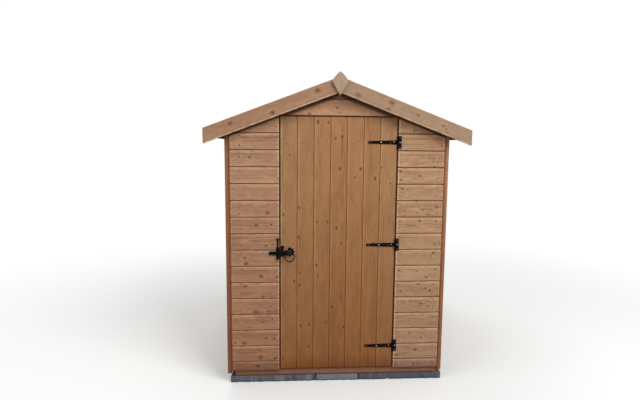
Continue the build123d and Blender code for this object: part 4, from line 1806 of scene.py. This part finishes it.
@dataclass
class Latch:
    """Ring latch: rose, knob, ring, bar, staple and keep."""

    ring_radius: float = 0.0325
    ring_wire: float = 0.0035
    ring_steps: int = 64
    ring_sides: int = 14
    pin_radius: float = 0.003
    pin_head: float = 0.004
    pin_arris: float = 0.0011
    pin_drop: float = 0.006
    pin_clear: float = 0.0004
    ear_gap: float = 0.004
    knob_radius: float = 0.017
    knob_dome: float = 0.0055
    knob_neck: float = 0.005
    spindle: float = 0.007
    tail: float = 0.0069
    collar: tuple[float, float, float] = (0.0115, 0.012, 0.0004)
    rose_screws: float = 0.0255
    bright_screw: tuple[float, float] = (0.0042, 0.0014)
    rose_screw: tuple[float, float] = (0.003, 0.001)
    staple_screw: tuple[float, float] = (0.0032, 0.001)
    keep_screw: tuple[float, float] = (0.0036, 0.0011)
    staple_inset: float = 0.0042
    keep_inset: float = 0.008
    leaf_thick: float = 0.003

    def knob(self) -> None:
        """Turn the knob."""
        box, rose, bar = (Extent.of(f"latch_{part}") for part in ("knob", "rose", "bar"))
        centre = Vector((rose.centre.x, 0, rose.centre.z))
        deep = bar.low.y - box.low.y
        dome = []
        for step in range(1, 10):
            angle = math.pi / 2 * step / 9
            way = self.knob_dome * (1 - math.cos(angle))
            dome.append((self.knob_radius * math.sin(angle), way))
        dome += [(self.knob_radius, deep * 0.7), (self.knob_radius * 0.9, deep)]
        dome.append((self.knob_neck, deep))
        rim, radius, arris = self.collar
        parts = (
            (dome, box.low.y, 40),
            ([(self.spindle, 0), (self.spindle, bar.size.y)], bar.low.y, 4),
            ([(rim, 0), (radius, arris), (radius, rose.low.y - bar.high.y)], bar.high.y, 40),
            ([(self.tail, 0), (self.tail, box.high.y - rose.low.y)], rose.low.y, 40),
        )
        mesh = bmesh.new()
        for profile, y, sides in parts:
            turned(mesh, profile, centre + Y * y, Y, sides)
        mount("turning_knob", mesh, Finish.RUBBED, Body.LATCH, Slot.IRON, ["latch_knob"])

    def ring(self) -> None:
        """Bend the ring and put its pin in."""
        box = Extent.of("ring_handle")
        centre_x, middle_y = box.centre.x, box.centre.y
        end = self.knob_radius + self.ear_gap
        chord = math.sqrt(self.ring_radius**2 - end**2)
        centre_z = box.low.z + self.ring_wire + self.ring_radius
        start = math.atan2(chord, end)
        sweep = math.pi + 2 * start
        turns = [2 * math.pi * side / self.ring_sides for side in range(self.ring_sides)]
        rings = []
        for step in range(self.ring_steps + 1):
            angle = start - sweep * step / self.ring_steps
            outward = Vector((math.cos(angle), 0, math.sin(angle)))
            middle = Vector((centre_x, middle_y, centre_z)) + outward * self.ring_radius
            spokes = [(outward * math.cos(t) + Y * math.sin(t)) * self.ring_wire for t in turns]
            rings.append([middle + spoke for spoke in spokes])
        mesh = bmesh.new()
        skin(mesh, rings)
        pin_z = centre_z + chord
        head, arris = self.pin_head, self.pin_arris
        inner = math.sqrt(self.knob_radius**2 - (self.pin_drop - head) ** 2) + self.pin_clear
        tip = end + head - inner
        profile = [(head - arris, 0), (head, arris), (head, tip - arris), (head - arris, tip)]
        for side in (-1, 1):
            turned(mesh, profile, Vector((centre_x + side * inner, middle_y, pin_z)), X * side, 24)
        pin = [(self.pin_radius, 0), (self.pin_radius, 2 * end)]
        turned(mesh, pin, Vector((centre_x - end, middle_y, pin_z)), X, 20)
        mount("hanging_ring", mesh, Finish.IRON, Body.RING, Slot.IRON, ["ring_handle"], 40)

    def screws(self) -> None:
        """Put the screws in."""
        rose, staple, keep = (Extent.of(f"latch_{part}") for part in ("rose", "staple", "keep"))
        bright, dull, lone = Fixings(), Fixings(), Fixings()
        for angle in (45, 135, 225, 315):
            way = Vector((math.cos(math.radians(angle)), 0, math.sin(math.radians(angle))))
            at = Vector((rose.centre.x, rose.low.y, rose.centre.z)) + way * self.rose_screws
            heads, size = (bright, self.bright_screw) if angle == 135 else (dull, self.rose_screw)
            heads.head(at, -Y, *size, crossed=True)
        bright.mount("rose_screw_bright", Finish.ZINC, Body.DOOR)
        seat = staple.high.y - self.leaf_thick
        for z in (staple.low.z + self.staple_inset, staple.high.z - self.staple_inset):
            dull.head(Vector((staple.centre.x, seat, z)), -Y, *self.staple_screw, crossed=True)
        dull.mount("door_latch_screws", Finish.DULL, Body.DOOR)
        seat = keep.high.y - self.leaf_thick
        at = Vector((keep.centre.x, seat, keep.high.z - self.keep_inset))
        lone.head(at, -Y, *self.keep_screw, crossed=True)
        lone.mount("keep_screw", Finish.DULL)

    def build(self) -> None:
        """Dress the latch."""
        self.knob()
        self.ring()
        dress_iron("latch_rose", Body.DOOR, 0.0009)
        dress_iron("latch_staple", Body.DOOR, 0.0006)
        dress_iron("latch_bar", Body.LATCH, 0.0008)
        dress_iron("latch_keep", Body.SHED, 0.0006)
        self.screws()


@dataclass
class Studio:
    """Camera of the photograph, soft light, and a pale floor."""

    place: Vector = Vector((-0.3055, -4.1791, 1.6662))
    yaw: float = 3.3845
    pitch: float = 6.611
    roll: float = 0.4574
    lens: float = 25.875
    sensor: float = 36
    reach: float = 200
    sky: float = 0.55
    sky_colour: Colour = (0.95, 0.98, 1.0)
    white: Colour = (1.0, 1.0, 1.0)
    floor_shown: Colour = (0.84, 0.84, 0.83)
    floor_bounce: Colour = (0.22, 0.21, 0.20)
    floor_half: float = 30
    floor_fades: tuple[float, float] = (1.8, 5.0)
    aim: Vector = Vector((0, 0, 1))
    lamps: tuple[tuple[str, Site, float, float], ...] = (
        ("key", (3.2, -4.9, 5.4), 4.0, 345),
        ("fill", (-4.5, -3.5, 3.6), 4.0, 90),
        ("rear", (-1.5, 6.0, 5.0), 4.5, 260),
    )

    def camera(self) -> None:
        """Set the camera up."""
        yaw, pitch, roll = (math.radians(a) for a in (self.yaw, self.pitch, self.roll))
        flat = math.cos(pitch)
        ahead = Vector((math.sin(yaw) * flat, math.cos(yaw) * flat, -math.sin(pitch)))
        level = Vector((math.cos(yaw), -math.sin(yaw), 0))
        right = level * math.cos(roll) + level.cross(ahead) * math.sin(roll)
        up = right.cross(ahead)
        data = bpy.data.cameras.new("camera")
        data.lens = self.lens
        data.sensor_fit = "HORIZONTAL"
        data.sensor_width = self.sensor
        data.clip_end = self.reach
        eye = bpy.data.objects.new("camera", data)
        turn = Matrix((right, up, -ahead)).transposed().to_4x4()
        eye.matrix_world = Matrix.Translation(self.place) @ turn
        bpy.context.scene.collection.objects.link(eye)
        bpy.context.scene.camera = eye

    def seen(self, graph: Graph) -> Num:
        """Tell what is looked at from light that falls on a surface.

        Args:
            graph: The graph to add to.

        Returns:
            1 for what the camera, gloss and glass see, and 0 for light.
        """
        path = graph.add("ShaderNodeLightPath")
        names = ("Is Camera Ray", "Is Glossy Ray", "Is Transmission Ray")
        first, second, third = (Num(graph, path.outputs[name]) for name in names)
        return first.most(second).most(third)

    def world(self) -> None:
        """White to the camera, soft daylight to the shed."""
        world = bpy.data.worlds.new("world")
        world.use_nodes = True
        graph = Graph(world.node_tree)
        light = tuple(c * self.sky for c in self.sky_colour)
        colour = graph.mix(self.seen(graph), light, self.white)
        shader = graph.add("ShaderNodeBackground", None, {"Color": colour, "Strength": 1.0})
        graph.add("ShaderNodeOutputWorld", None, {"Surface": shader.outputs[0]})
        bpy.context.scene.world = world

    def floor(self) -> None:
        """Lay the floor."""
        mesh = bmesh.new()
        bmesh.ops.create_grid(mesh, x_segments=8, y_segments=8, size=self.floor_half)
        data = bpy.data.meshes.new("studio_floor")
        mesh.to_mesh(data)
        mesh.free()
        data.materials.append(new_material("studio_floor", self.fading))
        floor = bpy.data.objects.new("studio_floor", data)
        bpy.context.scene.collection.objects.link(floor)

    def fading(self, graph: Graph) -> None:
        """Lay the floor's nodes, pale near the shed and white far from it.

        Args:
            graph: The graph to fill.
        """
        seen = self.seen(graph)
        colour = graph.mix(seen, self.floor_bounce, self.floor_shown)
        matt = graph.add("ShaderNodeBsdfDiffuse", None, {"Color": colour})
        glow = {"Color": (*self.white, 1.0), "Strength": 1.0}
        white = graph.add("ShaderNodeEmission", None, glow)
        x, y, _ = graph.parts(graph.rest_place())
        far = (x * x + y * y).root().rise(*self.floor_fades)
        layers = {0: far * seen, 1: matt.outputs[0], 2: white.outputs[0]}
        both = graph.add("ShaderNodeMixShader", None, layers)
        graph.add("ShaderNodeOutputMaterial", None, {"Surface": both.outputs[0]})

    def light(self) -> None:
        """Hang the soft lamps."""
        for name, place, size, power in self.lamps:
            data = bpy.data.lights.new(name, "AREA")
            data.size = size
            data.energy = power
            lamp = bpy.data.objects.new(name, data)
            lamp.location = place
            lamp.rotation_euler = (self.aim - Vector(place)).to_track_quat("-Z", "Y").to_euler()
            bpy.context.scene.collection.objects.link(lamp)

    def build(self) -> None:
        """Set the studio up."""
        self.camera()
        self.world()
        self.floor()
        self.light()
        bpy.context.scene.view_settings.view_transform = "Standard"


def main() -> None:
    """Build the shed and its studio."""
    logging.basicConfig(level=logging.INFO, format="%(name)s: %(message)s")
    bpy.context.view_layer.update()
    for part in (Slabs(), Floor(), Walls(), Roof(), Door(), Hinges(), Latch(), Studio()):
        part.build()
        log.info("%s done", type(part).__name__)


if __name__ == "__main__":
    main()
